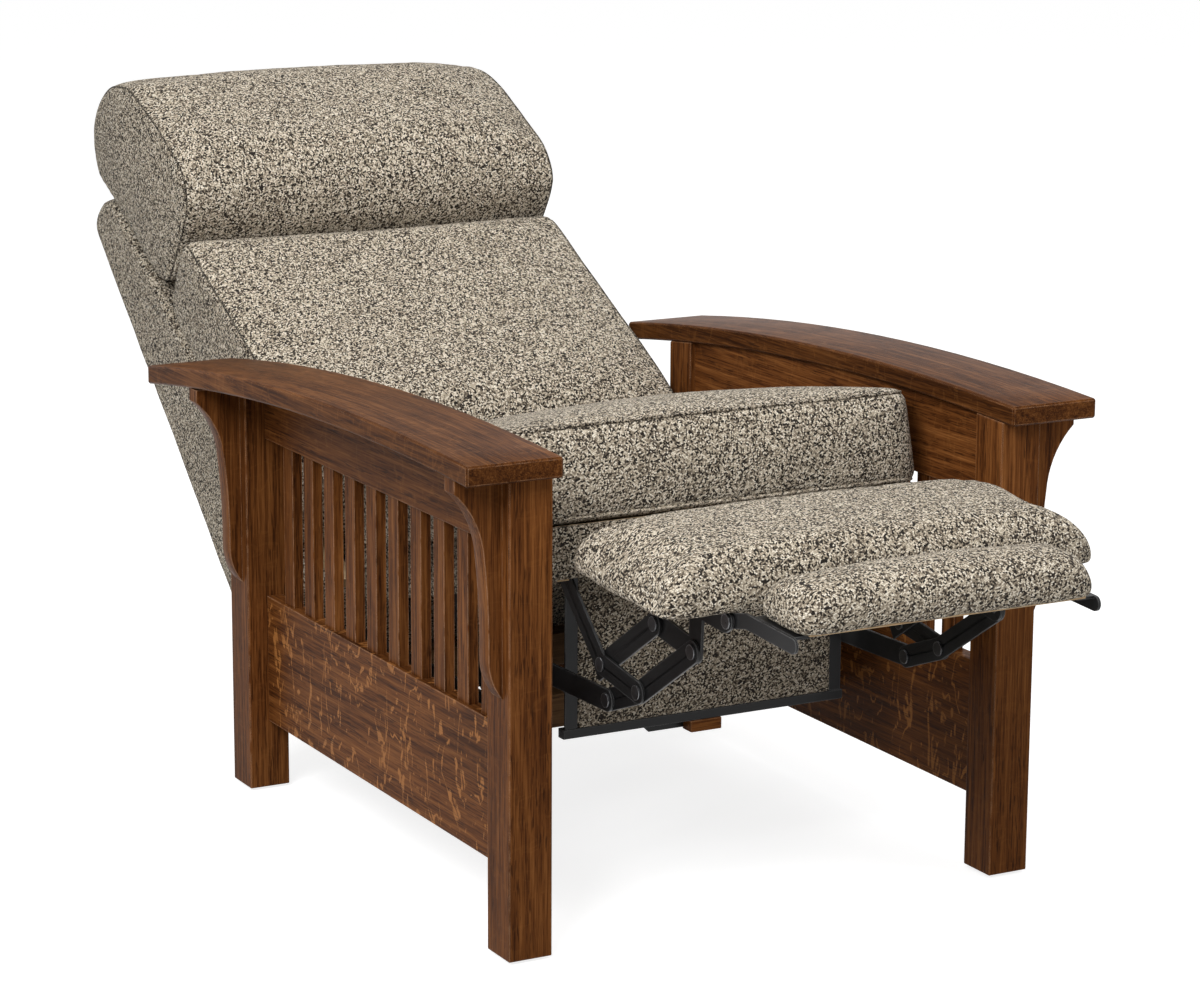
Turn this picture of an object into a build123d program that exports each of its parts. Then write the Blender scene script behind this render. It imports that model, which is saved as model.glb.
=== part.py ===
from build123d import *
import math
import os

# A reclining armchair in stained oak with loose-looking cushions and a folding footrest.
# All sizes are in millimetres. The chair faces -Y, X runs to its right as seen from the front,
# and Z is up from the floor. It is drawn laid back, with its footrest out.

# Timber frame
frame_width = 738.6
frame_depth = 826
post_size = 57.2
arm_width = 124.6
arm_thick = 25
arm_overlap = 1.3
arm_front_overhang = 24
arm_rear_overhang = 122
arm_peak_height = 619.4
arm_peak_back = -195
arm_bend_radius = 4907
arm_edge_ease = 2.4
rail_thick = 22
rail_setback = 27.8
lower_rail_bottom = 97
lower_rail_height = 175
upper_rail_drop = 131.4
slat_width = 28.6
slat_thick = 14
slat_setback = 5
slat_count = 10
mortise_depth = 8
tenon_thick = 10
tenon_length = 25
tenon_shoulder = 12
upper_tenon_height = 45
corbel_thick = 25
corbel_depth = 62
corbel_height = 268
rear_rail_thick = 24
rear_rail_setback = 16
rear_rail_height = 60
rear_tenon_length = 12
glide_radius = 13
glide_height = 4

# Base under the seat
stretcher_depth = 40
stretcher_height = 45
front_stretcher_setback = 393
rear_stretcher_setback = 123
base_rail_height = 45
base_rail_front_setback = 528
base_rail_rear_setback = 77
base_flange_width = 22

# Steel plates and links
plate_thick = 4
link_thick = 3.5
link_gap = 0.5
link_width = 28
swing_link_width = 26
swing_gap = 1
pin_radius = 4
pin_head_radius = 9
pin_head_height = 2.3
axial_play = 0.1
running_clearance = 0.05
open_pivot_clearance = 0.35
swing_pivot_clearance = 1.0

# Where the swing links turn on the base, and on the seat, at rest: how far each place is
# in front of the frame's rear, and its height
rear_swing_foot_setback = 307.1
rear_swing_foot_height = 205.5
rear_swing_head_setback = 256.8
rear_swing_head_height = 286.4
front_swing_foot_setback = 501.6
front_swing_foot_height = 211.7
front_swing_head_setback = 400.7
front_swing_head_height = 311.9

# Seat, measured from the lower front corner of its cushion
seat_corner_setback = 696
seat_corner_height = 491
seat_angle = 15
seat_length = 505
seat_thick = 114
seat_side_room = 17.1
seat_crown = 32
seat_front_bulge = 12
seat_end_draw = 24
seat_rail_inset = 75
seat_rail_thick = 22
seat_rail_height = 66
seat_rail_front = 20
seat_rail_rear = 600
front_rail_start = 12
front_rail_thick = 22
front_rail_height = 38
front_ledge_depth = 60
front_ledge_thick = 18
seat_plate_width = 54
seat_plate_middle = -34
seat_plate_front = 62
seat_plate_rear = 600
spring_count = 4
spring_side_room = 82
spring_wire = 3.8
spring_drop = 12
spring_swing = 22
spring_pitch = 48

# Back, measured along and square to its front board from its hinge
back_hinge_setback = 68
back_hinge_height = 300
back_angle = 32
back_side_room = 14.1
shell_low = -25
shell_front_top = 805
shell_top = 841
shell_top_depth = 88.7
shell_rear_angle = 10
shell_end_draw = 14
upright_gap = 6
upright_width = 32
upright_depth = 42
upright_low = -20
upright_top = 760
cross_rail_height = 60
lower_cross_rail_low = 90
hinge_pocket_height = 70
hinge_pocket_depth = 45
hinge_pocket_width = 15
hinge_plate_height = 62
hinge_plate_depth = 30
back_cushion_gap = 0.4
lower_cushion_low = 24
lower_cushion_top = 552
lower_cushion_top_depth = 114
lower_cushion_low_depth = 163
lower_cushion_mid_depth = 149
lower_cushion_turn = 107
lower_cushion_crown = 8
pillow_low = 558
pillow_height = 362
pillow_depth = 207
pillow_crown = 9

# Kick panel under the front of the seat, hanging plumb at rest
kick_setback = 648
kick_thick = 18
kick_low = 219
kick_high = 470
kick_side_room = 38
kick_bar_side_room = 18
kick_bar_height = 12
kick_bar_inset = 2
kick_block_width = 45
kick_block_height = 15
kick_block_depth = 22
hanger_width = 17.4
hanger_thick = 3
hanger_inset = 3
kick_brace_length = 62
kick_brace_height = 12

# Footrest linkage pivots, in the seat's own directions at rest
drive_pivot = (134, -50)
crank_pivot = (55, -42)
drive_elbow = (132, -173)
drive_tip = (-29, -212)
crank_tip = (-108, -204)
crank_knee = (-26, -169)
lower_link_tip = (-244, -160)
upper_link_tip = (-162, -125)
torque_tube_radius = 11
torque_tube_bore = 7.5
upper_link_tail = 24

# Footrest pads, measured forward and up from the main pad's rear lower edge
pad_corner = (-116, -37)
pad_angle = 197.8
pad_length = 248
pad_thick = 43
pad_crown = 10
pad_end_draw = 10
pad_board_rear = 22
pad_board_front = 210
pad_board_inset = 37
pad_board_thick = 12
pad_bracket_flange = 24
pad_bracket_rear = 48
pad_bracket_front = 222
pad_bracket_drop = 26
pad_bracket_width = 22
flipper_pivot = (228, -22)
flipper_rear = 265
flipper_low = 6.5
flipper_length = 112
flipper_thick = 36
flipper_crown = 8
flipper_inset = 97
flipper_board_inset = 11
flipper_board_thick = 10
flipper_board_side_inset = 14
flipper_bracket_knee = (262, -13)
flipper_bracket_front = 360
flipper_bracket_width = 18

# Shares along the half width at which each soft form has a section
station_shares = (
    -1, -0.98, -0.9, -0.75, -0.45, 0, 0.45, 0.75, 0.9, 0.98, 1
)

# Places worked out from the frame's width and depth
frame_rear = frame_depth / 2
upper_rail_bottom = arm_peak_height - upper_rail_drop
slat_pitch = (frame_depth - 2 * post_size) / (slat_count + 1)
front_stretcher_back = frame_rear - front_stretcher_setback
rear_stretcher_back = frame_rear - rear_stretcher_setback
base_rail_front = frame_rear - base_rail_front_setback
base_rail_rear = frame_rear - base_rail_rear_setback
rear_swing_foot = (frame_rear - rear_swing_foot_setback, rear_swing_foot_height)
rear_swing_head = (frame_rear - rear_swing_head_setback, rear_swing_head_height)
front_swing_foot = (frame_rear - front_swing_foot_setback, front_swing_foot_height)
front_swing_head = (frame_rear - front_swing_head_setback, front_swing_head_height)
seat_corner = (frame_rear - seat_corner_setback, seat_corner_height)
back_hinge = (frame_rear - back_hinge_setback, back_hinge_height)
kick_front = frame_rear - kick_setback
room_between_posts = frame_width / 2 - post_size
seat_half_width = room_between_posts - seat_side_room
back_half_width = room_between_posts - back_side_room
seat_rail_inner = seat_half_width - seat_rail_inset
spring_spacing = 2 * (seat_rail_inner - spring_side_room) / (spring_count - 1)
upright_inner = seat_rail_inner + upright_gap
hinge_pocket_inner = upright_inner - hinge_pocket_width
kick_half_width = seat_rail_inner - kick_side_room
kick_bar_half_width = seat_rail_inner - kick_bar_side_room
flipper_half_width = seat_half_width - flipper_inset

side_plane = Plane.YZ
seat_plane = Plane(
    origin=(0, seat_corner[0], seat_corner[1]),
    x_dir=(0, math.cos(math.radians(seat_angle)), -math.sin(math.radians(seat_angle))),
    z_dir=(1, 0, 0),
)
back_plane = Plane(
    origin=(0, back_hinge[0], back_hinge[1]),
    x_dir=(0, math.cos(math.radians(back_angle)), math.sin(math.radians(back_angle))),
    z_dir=(1, 0, 0),
)


def in_seat(point):
    # A side-view point of the room in the seat's own directions.
    local = seat_plane.to_local_coords(Vector(0, point[0], point[1]))
    return (local.X, local.Y)


def in_room(plane, point):
    # A side-view point of a tilted plane as room Y and Z.
    place = plane.from_local_coords(Vector(point[0], point[1], 0))
    return (place.Y, place.Z)


pad_turn = math.radians(pad_angle - seat_angle)
pad_plane = Plane(
    origin=(0, *in_room(seat_plane, pad_corner)),
    x_dir=(0, math.cos(pad_turn), math.sin(pad_turn)),
    z_dir=(-1, 0, 0),
)

# Faces worked out from the sizes above
post_outer = frame_width / 2
post_inner = post_outer - post_size
rail_outer = post_outer - rail_setback
rail_inner = rail_outer - rail_thick
arm_inner = post_inner - arm_overlap
arm_outer = arm_inner + arm_width
post_reach = frame_depth / 2
post_reach_inner = post_reach - post_size
arm_bend_centre = arm_peak_height - arm_bend_radius
arm_under_radius = arm_bend_radius - arm_thick
seat_plate_inner = seat_rail_inner - plate_thick
swing_inner = seat_rail_inner + swing_gap
swing_outer = swing_inner + plate_thick
base_inner = swing_outer + swing_gap
base_outer = base_inner + plate_thick
base_low = lower_rail_bottom + lower_rail_height / 2
pad_board_low = -pad_board_thick
pad_bracket_low = pad_board_low - link_thick
flipper_board_low = flipper_low - flipper_board_thick
flange_low = flipper_board_low - link_thick


def layer_outer(number):
    # Outer face of a link layer, counted inward from the seat's side plate.
    return seat_plate_inner - link_gap - number * (link_thick + link_gap)


def layer_inner(number):
    return layer_outer(number) - link_thick


def across(plane, outline, x_low, x_high):
    # A side-view outline given its width along X.
    start = x_low if plane.z_dir.X > 0 else -x_high
    return extrude(plane.offset(start) * outline, amount=x_high - x_low, dir=plane.z_dir)


def block(x_low, x_high, y_low, y_high, z_low, z_high):
    size = (x_high - x_low, y_high - y_low, z_high - z_low)
    middle = ((x_high + x_low) / 2, (y_high + y_low) / 2, (z_high + z_low) / 2)
    return Pos(*middle) * Box(*size)


def face_of(start, *steps):
    # A closed face: a step of one point is a line, a step of two is an arc through the first.
    edges = []
    here = start
    for step in steps:
        if len(step) == 1:
            edges.append(Line(here, step[0]))
        else:
            edges.append(ThreePointArc(here, step[0], step[1]))
        here = step[-1]
    return make_face(edges)


def rectangle(u_low, u_high, v_low, v_high):
    return face_of(
        (u_low, v_low), ((u_high, v_low),), ((u_high, v_high),), ((u_low, v_high),), ((u_low, v_low),)
    )


def bar(start, end, width):
    # A flat bar with round ends about two points.
    run = Vector(*end) - Vector(*start)
    middle = (Vector(*start) + Vector(*end)) / 2
    turn = math.degrees(math.atan2(run.Y, run.X))
    return Pos(middle.X, middle.Y) * Rot(0, 0, turn) * SlotCenterToCenter(run.length, width)


def hole(point, clearance):
    return Pos(*point) * Circle(pin_radius + clearance)


def mirrored(piece):
    return mirror(piece, about=Plane.YZ)


def pair(piece):
    return [piece, mirrored(piece)]


def pin(plane, point, x_low, x_high, heads="both"):
    # A pivot pin through the plates from x_low to x_high, with flat heads outside them.
    shank_low = x_low - axial_play if heads in ("both", "inner") else x_low
    shank_high = x_high + axial_play if heads in ("both", "outer") else x_high
    shape = across(plane, Pos(*point) * Circle(pin_radius), shank_low, shank_high)
    head = Pos(*point) * Circle(pin_head_radius)
    if heads in ("both", "inner"):
        shape += across(plane, head, shank_low - pin_head_height, shank_low)
    if heads in ("both", "outer"):
        shape += across(plane, head, shank_high, shank_high + pin_head_height)
    return shape


def arm_arc_point(y, radius):
    return (y, arm_bend_centre + math.sqrt(radius ** 2 - (y - arm_peak_back) ** 2))


def arm_start():
    return -post_reach - arm_front_overhang


def arm_end():
    return post_reach + arm_rear_overhang


def arm(side):
    # A flat arm board bent to a long low arc, with eased edges.
    front = arm_start()
    rear = arm_end()
    outline = face_of(
        arm_arc_point(front, arm_under_radius),
        (arm_arc_point(arm_peak_back, arm_under_radius), arm_arc_point(rear, arm_under_radius)),
        (arm_arc_point(rear, arm_bend_radius),),
        (arm_arc_point(arm_peak_back, arm_bend_radius), arm_arc_point(front, arm_bend_radius)),
        (arm_arc_point(front, arm_under_radius),),
    )
    board = across(side_plane, outline, arm_inner, arm_outer)
    board = chamfer(board.edges(), arm_edge_ease)
    return board if side > 0 else mirrored(board)


def under_arm(x_low, x_high, y_low, y_high, z_low):
    # A block from z_low up to the underside of the arm.
    middle = (y_low + y_high) / 2
    outline = face_of(
        (y_low, z_low),
        ((y_high, z_low),),
        (arm_arc_point(y_high, arm_under_radius),),
        (arm_arc_point(middle, arm_under_radius), arm_arc_point(y_low, arm_under_radius)),
        ((y_low, z_low),),
    )
    return across(side_plane, outline, x_low, x_high)


def tenon_x():
    middle = (rail_outer + rail_inner) / 2
    return (middle - tenon_thick / 2, middle + tenon_thick / 2)


def rail_tenons(z_low, z_high):
    # The tongues at both ends of a side rail, which fill the mortises in its posts.
    x_low, x_high = tenon_x()
    reach = post_reach_inner + tenon_length
    return block(x_low, x_high, -reach, reach, z_low, z_high)


def lower_tenons():
    low = lower_rail_bottom + tenon_shoulder
    return rail_tenons(low, lower_rail_bottom + lower_rail_height - tenon_shoulder)


def upper_tenons():
    low = upper_rail_bottom + tenon_shoulder
    return rail_tenons(low, low + upper_tenon_height)


def post(side, end):
    # One square post from its glide to the arm; end is -1 at the front and 1 at the rear.
    y_near = end * post_reach_inner
    y_far = end * post_reach
    y_low = min(y_near, y_far)
    body = under_arm(post_inner, post_outer, y_low, y_low + post_size, glide_height)
    body -= lower_tenons()
    body -= upper_tenons()
    if end > 0:
        body -= rear_rail()
    return body if side > 0 else mirrored(body)


def lower_rail(side):
    rail = block(
        rail_inner, rail_outer, -post_reach_inner, post_reach_inner,
        lower_rail_bottom, lower_rail_bottom + lower_rail_height,
    )
    rail += lower_tenons()
    for slat in slats():
        rail -= slat
    return rail if side > 0 else mirrored(rail)


def upper_rail(side):
    rail = under_arm(rail_inner, rail_outer, -post_reach_inner, post_reach_inner, upper_rail_bottom)
    rail += upper_tenons()
    for slat in slats():
        rail -= slat
    return rail if side > 0 else mirrored(rail)


def slats():
    # The row of upright slats, each let into both rails.
    outer = rail_outer - slat_setback
    low = lower_rail_bottom + lower_rail_height - mortise_depth
    high = upper_rail_bottom + mortise_depth
    first = -slat_pitch * (slat_count - 1) / 2
    row = []
    for number in range(slat_count):
        middle = first + number * slat_pitch
        row.append(
            block(outer - slat_thick, outer, middle - slat_width / 2, middle + slat_width / 2, low, high)
        )
    return row


def corbel(end):
    # A bracket under the arm on the post's outer face, with a lip and a long concave sweep.
    middle = end * (post_reach - post_size / 2)
    top = min(
        arm_arc_point(middle - corbel_thick / 2, arm_under_radius)[1],
        arm_arc_point(middle + corbel_thick / 2, arm_under_radius)[1],
    )
    depth_shares = (1, 0.6, 0.4, 0.315, 0.29, 0.19)
    drop_shares = (0.063, 0.183, 0.328, 0.549, 0.81, 0.93)
    points = []
    for depth_share, drop_share in zip(depth_shares, drop_shares):
        points.append((post_outer + depth_share * corbel_depth, top - drop_share * corbel_height))
    outline = face_of(
        (post_outer, top),
        ((post_outer + corbel_depth, top),),
        (points[0],),
        (points[1], points[2]),
        (points[3], points[4]),
        (points[5], (post_outer, top - corbel_height)),
        ((post_outer, top),),
    )
    plane = Plane(origin=(0, middle + corbel_thick / 2, 0), x_dir=(1, 0, 0), z_dir=(0, -1, 0))
    return extrude(plane * outline, amount=corbel_thick, dir=(0, -1, 0))


def corbels():
    pieces = []
    for end in (-1, 1):
        pieces += pair(corbel(end))
    return pieces


def rear_rail():
    # The board between the rear posts, tenoned into both.
    y_high = post_reach - rear_rail_setback
    reach = post_inner + rear_tenon_length
    board = block(
        -post_inner, post_inner, y_high - rear_rail_thick, y_high,
        lower_rail_bottom, lower_rail_bottom + rear_rail_height,
    )
    tongue_low = y_high - (rear_rail_thick + tenon_thick) / 2
    low = lower_rail_bottom + tenon_shoulder
    high = lower_rail_bottom + rear_rail_height - tenon_shoulder
    return board + block(-reach, reach, tongue_low, tongue_low + tenon_thick, low, high)


def glides():
    # Nylon glides under the four posts.
    pieces = []
    place = post_outer - post_size / 2
    for end in (-1, 1):
        centre = (place, end * (post_reach - post_size / 2), glide_height / 2)
        pieces += pair(Pos(*centre) * Cylinder(glide_radius, glide_height))
    return pieces


def stretchers():
    # Two cross boards between the lower side rails; they carry the steel base rails.
    pieces = []
    for y_low in (front_stretcher_back, rear_stretcher_back):
        board = block(
            -rail_inner, rail_inner, y_low, y_low + stretcher_depth,
            base_low - stretcher_height, base_low,
        )
        pieces.append(board)
    return pieces


def base_rail(side):
    # A steel angle with its upright leg inside; the swing links turn on this leg.
    leg = across(
        side_plane,
        rectangle(base_rail_front, base_rail_rear, base_low, base_low + base_rail_height)
        - hole(rear_swing_foot, running_clearance)
        - hole(front_swing_foot, running_clearance),
        base_inner,
        base_outer,
    )
    foot = block(
        base_outer, base_outer + base_flange_width, base_rail_front, base_rail_rear,
        base_low, base_low + plate_thick,
    )
    rail = leg + foot
    return rail if side > 0 else mirrored(rail)


def base_pins():
    pieces = []
    for foot in (rear_swing_foot, front_swing_foot):
        pieces += pair(pin(side_plane, foot, swing_inner, base_outer, "outer"))
    return pieces


def swing_link(foot, head, head_clearance):
    # A short link that carries the seat on the base.
    outline = bar(foot, head, swing_link_width)
    outline -= hole(foot, running_clearance)
    outline -= hole(head, head_clearance)
    return pair(across(side_plane, outline, swing_inner, swing_outer))


def seat_rail(side):
    rail = across(
        seat_plane,
        rectangle(seat_rail_front, seat_rail_rear, -seat_rail_height, 0),
        seat_rail_inner,
        seat_rail_inner + seat_rail_thick,
    )
    return rail if side > 0 else mirrored(rail)


def seat_front_rail():
    # The front board and its ledge, which the kick panel hangs from.
    front = front_rail_start
    rear = front + front_rail_thick
    outline = face_of(
        (front, 0),
        ((front, -front_rail_height),),
        ((rear, -front_rail_height),),
        ((rear, -front_ledge_thick),),
        ((rear + front_ledge_depth, -front_ledge_thick),),
        ((rear + front_ledge_depth, 0),),
        ((front, 0),),
    )
    return across(seat_plane, outline, -seat_plate_inner, seat_plate_inner)


def seat_rear_rail():
    outline = rectangle(seat_rail_rear - front_rail_thick, seat_rail_rear, -seat_rail_height, 0)
    return across(seat_plane, outline, -seat_plate_inner, seat_plate_inner)


def seat_plate(side):
    # The steel side plate on the inner face of the seat rail; every seat pivot is in it.
    front = (seat_plate_front, seat_plate_middle)
    rear = (seat_plate_rear, seat_plate_middle)
    front_head = in_seat(front_swing_head)
    rear_head = in_seat(rear_swing_head)
    hinge = in_seat(back_hinge)
    outline = bar(front, rear, seat_plate_width)
    outline += bar((front_head[0], seat_plate_middle), front_head, link_width + plate_thick)
    outline += bar((rear_head[0], seat_plate_middle), rear_head, link_width + plate_thick)
    outline += bar(rear, hinge, link_width)
    for point in (drive_pivot, crank_pivot, front_head, rear_head, hinge):
        outline -= hole(point, running_clearance)
    plate = across(seat_plane, outline, seat_plate_inner, seat_rail_inner)
    return plate if side > 0 else mirrored(plate)


def seat_pins():
    # Pins of the drive links, cranks, swing links and back, all held in the side plates.
    inner = layer_inner(0)
    pieces = pair(pin(seat_plane, drive_pivot, inner - plate_thick, seat_rail_inner, "none"))
    pieces += pair(pin(seat_plane, crank_pivot, inner, seat_rail_inner, "inner"))
    for head in (rear_swing_head, front_swing_head):
        pieces += pair(pin(side_plane, head, seat_plate_inner, swing_outer, "inner"))
    hinge_outer = upright_inner
    pieces += pair(pin(side_plane, back_hinge, seat_plate_inner, hinge_outer, "inner"))
    return pieces


def spring_path():
    # One zigzag of straight runs from the rear rail to the front ledge.
    start = front_rail_start + front_rail_thick + front_ledge_depth
    end = seat_rail_rear - front_rail_thick
    count = int((end - start) / spring_pitch)
    step = (end - start) / count
    side = 1
    points = [(start, spring_swing)]
    for number in range(1, count):
        boundary = start + number * step
        points.append((boundary - step / 4, side * spring_swing))
        points.append((boundary + step / 4, -side * spring_swing))
        side = -side
    points.append((end, side * spring_swing))
    return Polyline(*points)


def seat_springs():
    # Zigzag springs of square wire across the open seat, level with each other.
    plane = Plane(
        origin=in_seat_plane_point(0, -spring_drop), x_dir=seat_plane.x_dir, z_dir=seat_plane.y_dir
    )
    wire = extrude(plane * trace(spring_path(), spring_wire), amount=spring_wire, dir=plane.z_dir)
    pieces = []
    for number in range(spring_count):
        offset = (number - (spring_count - 1) / 2) * spring_spacing
        pieces.append(Pos(offset, 0, 0) * wire)
    return pieces


def in_seat_plane_point(along, up):
    y, z = in_room(seat_plane, (along, up))
    return (0, y, z)


def fullness(share):
    # How full a soft form is at a share of its half width: 1 in the middle, 0 at the ends.
    return math.sqrt(1 - share ** 4)


def soft_solid(plane, half_width, section):
    faces = []
    for share in station_shares:
        faces.append(plane.offset(share * half_width) * section(fullness(share)))
    return loft(faces, ruled=True)


def pad_section(rear, front, low, high, crown, bulge, draw, full):
    # A cushion's side view: flat underneath, bulging ends and a crowned top.
    rear = rear + draw * (1 - full)
    front = front - draw * (1 - full)
    high = high - draw * (1 - full) / 2
    low = low + draw * (1 - full) / 4
    end_bulge = bulge * (1 + full) / 2
    rise = crown * (1 + 3 * full) / 4
    middle = (low + high) / 2
    return face_of(
        (rear, low),
        ((front, low),),
        ((front + end_bulge, middle), (front, high)),
        (((front + rear) / 2, high + rise), (rear, high)),
        ((rear - end_bulge, middle), (rear, low)),
    )


def seat_cushion():
    def section(full):
        return pad_section(
            seat_front_bulge, seat_length - seat_front_bulge, 0, seat_thick,
            seat_crown, seat_front_bulge, seat_end_draw, full,
        )
    return soft_solid(seat_plane, seat_half_width, section)


def main_pad():
    bulge = pad_thick / 4

    def section(full):
        return pad_section(
            bulge, pad_length - bulge, 0, pad_thick, pad_crown, bulge, pad_end_draw, full,
        )
    return soft_solid(pad_plane, seat_half_width, section)


def flipper_pad():
    bulge = flipper_thick / 4

    def section(full):
        return pad_section(
            flipper_rear + bulge, flipper_rear + flipper_length - bulge,
            flipper_low, flipper_low + flipper_thick, flipper_crown, bulge, pad_end_draw, full,
        )
    return soft_solid(pad_plane, flipper_half_width, section)


def kick_top_cut():
    # All that lies above the underside of the seat's front ledge.
    reach = seat_length
    outline = rectangle(-reach, reach, -front_ledge_thick, reach)
    return across(seat_plane, outline, -seat_half_width, seat_half_width)


def kick_panel():
    outline = rectangle(kick_front, kick_front + kick_thick, kick_low, kick_high)
    board = across(side_plane, outline, -kick_half_width, kick_half_width)
    return board - kick_top_cut()


def kick_bar():
    front = kick_front + kick_bar_inset
    rear = kick_front + kick_thick - kick_bar_inset
    return block(
        -kick_bar_half_width, kick_bar_half_width, front, rear, kick_low - kick_bar_height, kick_low
    )


def kick_block():
    # The small wood block hanging under the bar.
    top = kick_low - kick_bar_height
    return block(
        -kick_block_width / 2, kick_block_width / 2,
        kick_front, kick_front + kick_block_depth, top - kick_block_height, top,
    )


def kick_hangers():
    # Straps beside the panel that carry the bar from the ledge, and the brace beside the block.
    front = kick_front + hanger_inset
    strap = across(
        side_plane, rectangle(front, front + hanger_thick, kick_low, kick_high),
        kick_half_width, kick_half_width + hanger_width,
    )
    strap -= kick_top_cut()
    low = kick_low - kick_bar_height
    left = -kick_block_width / 2
    outline = face_of(
        (left, low),
        ((left - kick_brace_length, low),),
        ((left - kick_brace_length + kick_brace_height, low - kick_brace_height),),
        ((left, low - kick_brace_height),),
        ((left, low),),
    )
    plane = Plane(origin=(0, kick_front + kick_block_depth, 0), x_dir=(1, 0, 0), z_dir=(0, -1, 0))
    brace = extrude(plane * outline, amount=hanger_thick, dir=(0, -1, 0))
    return pair(strap) + [brace]


def shell_rear_depth(along):
    return -shell_top_depth - (shell_top - along) * math.tan(math.radians(shell_rear_angle))


def back_frame_pieces():
    top_low = upright_top - cross_rail_height
    return [upright(1), upright(-1), cross_rail(top_low), cross_rail(lower_cross_rail_low)]


def back_shell():
    # The padded outer back: flat in front, rounded over the top and thicker towards its foot.
    def section(full):
        draw = shell_end_draw * (1 - full)
        top = shell_top - draw
        front_top = shell_front_top - draw
        corner = top - front_top
        return face_of(
            (shell_low, 0),
            ((front_top, 0),),
            ((front_top + corner * 3 / 4, -corner), (top, -shell_top_depth)),
            ((shell_low, shell_rear_depth(shell_low) + draw),),
            ((shell_low, 0),),
        )
    shell = soft_solid(back_plane, back_half_width, section)
    for piece in back_frame_pieces():
        shell -= piece
    pocket = across(
        back_plane,
        rectangle(shell_low, hinge_pocket_height, -hinge_pocket_depth, 0),
        hinge_pocket_inner,
        upright_inner,
    )
    for hollow in pair(pocket):
        shell -= hollow
    return shell


def upright(side):
    outline = rectangle(upright_low, upright_top, -upright_depth, 0)
    piece = across(back_plane, outline, upright_inner, upright_inner + upright_width)
    return piece if side > 0 else mirrored(piece)


def cross_rail(low):
    outline = rectangle(low, low + cross_rail_height, -upright_depth / 2, 0)
    return across(back_plane, outline, -upright_inner, upright_inner)


def back_hinge_plates():
    # Plates on the inner faces of the back's uprights, turning on the hinge pins.
    outline = Circle(link_width / 2) + rectangle(0, hinge_plate_height, -hinge_plate_depth, 0)
    outline -= hole((0, 0), running_clearance)
    return pair(across(back_plane, outline, upright_inner - plate_thick, upright_inner))


def lower_back_cushion():
    # The deep lumbar cushion, fullest low down and round underneath.
    def section(full):
        grow = lower_cushion_crown * (full - 1)
        top = lower_cushion_top
        turn = lower_cushion_turn
        low = lower_cushion_low - grow
        deep = lower_cushion_low_depth + grow
        middle = (top + turn) / 2
        return face_of(
            (low, back_cushion_gap),
            ((low, deep / 3),),
            ((low + (turn - low) / 5, deep * 4 / 5), (turn, deep)),
            ((middle, lower_cushion_mid_depth + grow), (top, lower_cushion_top_depth + grow)),
            ((top, back_cushion_gap),),
            ((low, back_cushion_gap),),
        )
    return soft_solid(back_plane, back_half_width, section)


def head_pillow():
    # The head pillow: it rolls over the top of the shell and overhangs the cushion below.
    along_shares = (0.011, 0.685, 0.807, 0.959, 1, 0.956, 0.768, 0.448, 0.135, 0.033, 0.005)
    depth_shares = (0.002, 0.002, -0.039, 0.087, 0.343, 0.58, 0.826, 0.961, 1, 0.918, 0.725)

    def section(full):
        grow = pillow_crown * (full - 1)
        points = []
        for along_share, depth_share in zip(along_shares, depth_shares):
            along = pillow_low + along_share * (pillow_height + grow)
            points.append((along, back_cushion_gap + depth_share * (pillow_depth + grow)))
        return face_of(
            points[0],
            (points[1],),
            (points[2],),
            (points[3], points[4]),
            (points[5], points[6]),
            (points[7], points[8]),
            (points[9], points[10]),
            (points[0],),
        )
    return soft_solid(back_plane, back_half_width, section)


def linkage_plate(plane, bars, holes, number, width=link_width):
    # A flat link in one layer: bars between its points, less its pivot holes.
    outline = bar(bars[0][0], bars[0][1], width)
    for start, end in bars[1:]:
        outline += bar(start, end, width)
    for point, clearance in holes:
        outline -= hole(point, clearance)
    return across(plane, outline, layer_inner(number), layer_outer(number))


def drive_link(side):
    # The driven link: down from the tube, then forward from its elbow.
    link = linkage_plate(
        seat_plane,
        [(drive_pivot, drive_elbow), (drive_elbow, drive_tip)],
        [(drive_pivot, running_clearance), (drive_tip, running_clearance)],
        0,
    )
    return link if side > 0 else mirrored(link)


def torque_tube():
    ring = Pos(*drive_pivot) * (Circle(torque_tube_radius) - Circle(torque_tube_bore))
    return across(seat_plane, ring, -layer_inner(0), layer_inner(0))


def drive_pins():
    return pair(pin(seat_plane, drive_tip, layer_inner(1), layer_outer(0)))


def cranks():
    return pair(linkage_plate(
        seat_plane,
        [(crank_pivot, crank_knee), (crank_knee, crank_tip)],
        [
            (crank_pivot, running_clearance),
            (crank_knee, running_clearance),
            (crank_tip, open_pivot_clearance),
        ],
        0,
    ))


def crank_pins():
    return pair(pin(seat_plane, crank_knee, layer_inner(1), layer_outer(0)))


def lower_links():
    return pair(linkage_plate(
        seat_plane,
        [(drive_tip, crank_tip), (crank_tip, lower_link_tip)],
        [
            (drive_tip, running_clearance),
            (crank_tip, running_clearance),
            (lower_link_tip, running_clearance),
        ],
        1,
    ))


def lower_link_pins():
    pieces = pair(pin(seat_plane, crank_tip, layer_inner(1), layer_outer(0)))
    return pieces + pair(pin(seat_plane, lower_link_tip, layer_inner(2), layer_outer(1), "outer"))


def upper_links():
    # Straight bars with a square rear end beyond the pivot.
    run = Vector(*crank_knee) - Vector(*upper_link_tip)
    turn = math.degrees(math.atan2(run.Y, run.X))
    tail = Pos(*crank_knee) * Rot(0, 0, turn) * Pos(upper_link_tail / 2, 0) * Rectangle(
        upper_link_tail, link_width
    )
    outline = bar(crank_knee, upper_link_tip, link_width) + tail
    outline -= hole(crank_knee, running_clearance)
    outline -= hole(upper_link_tip, open_pivot_clearance)
    return pair(across(seat_plane, outline, layer_inner(1), layer_outer(1)))


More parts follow.
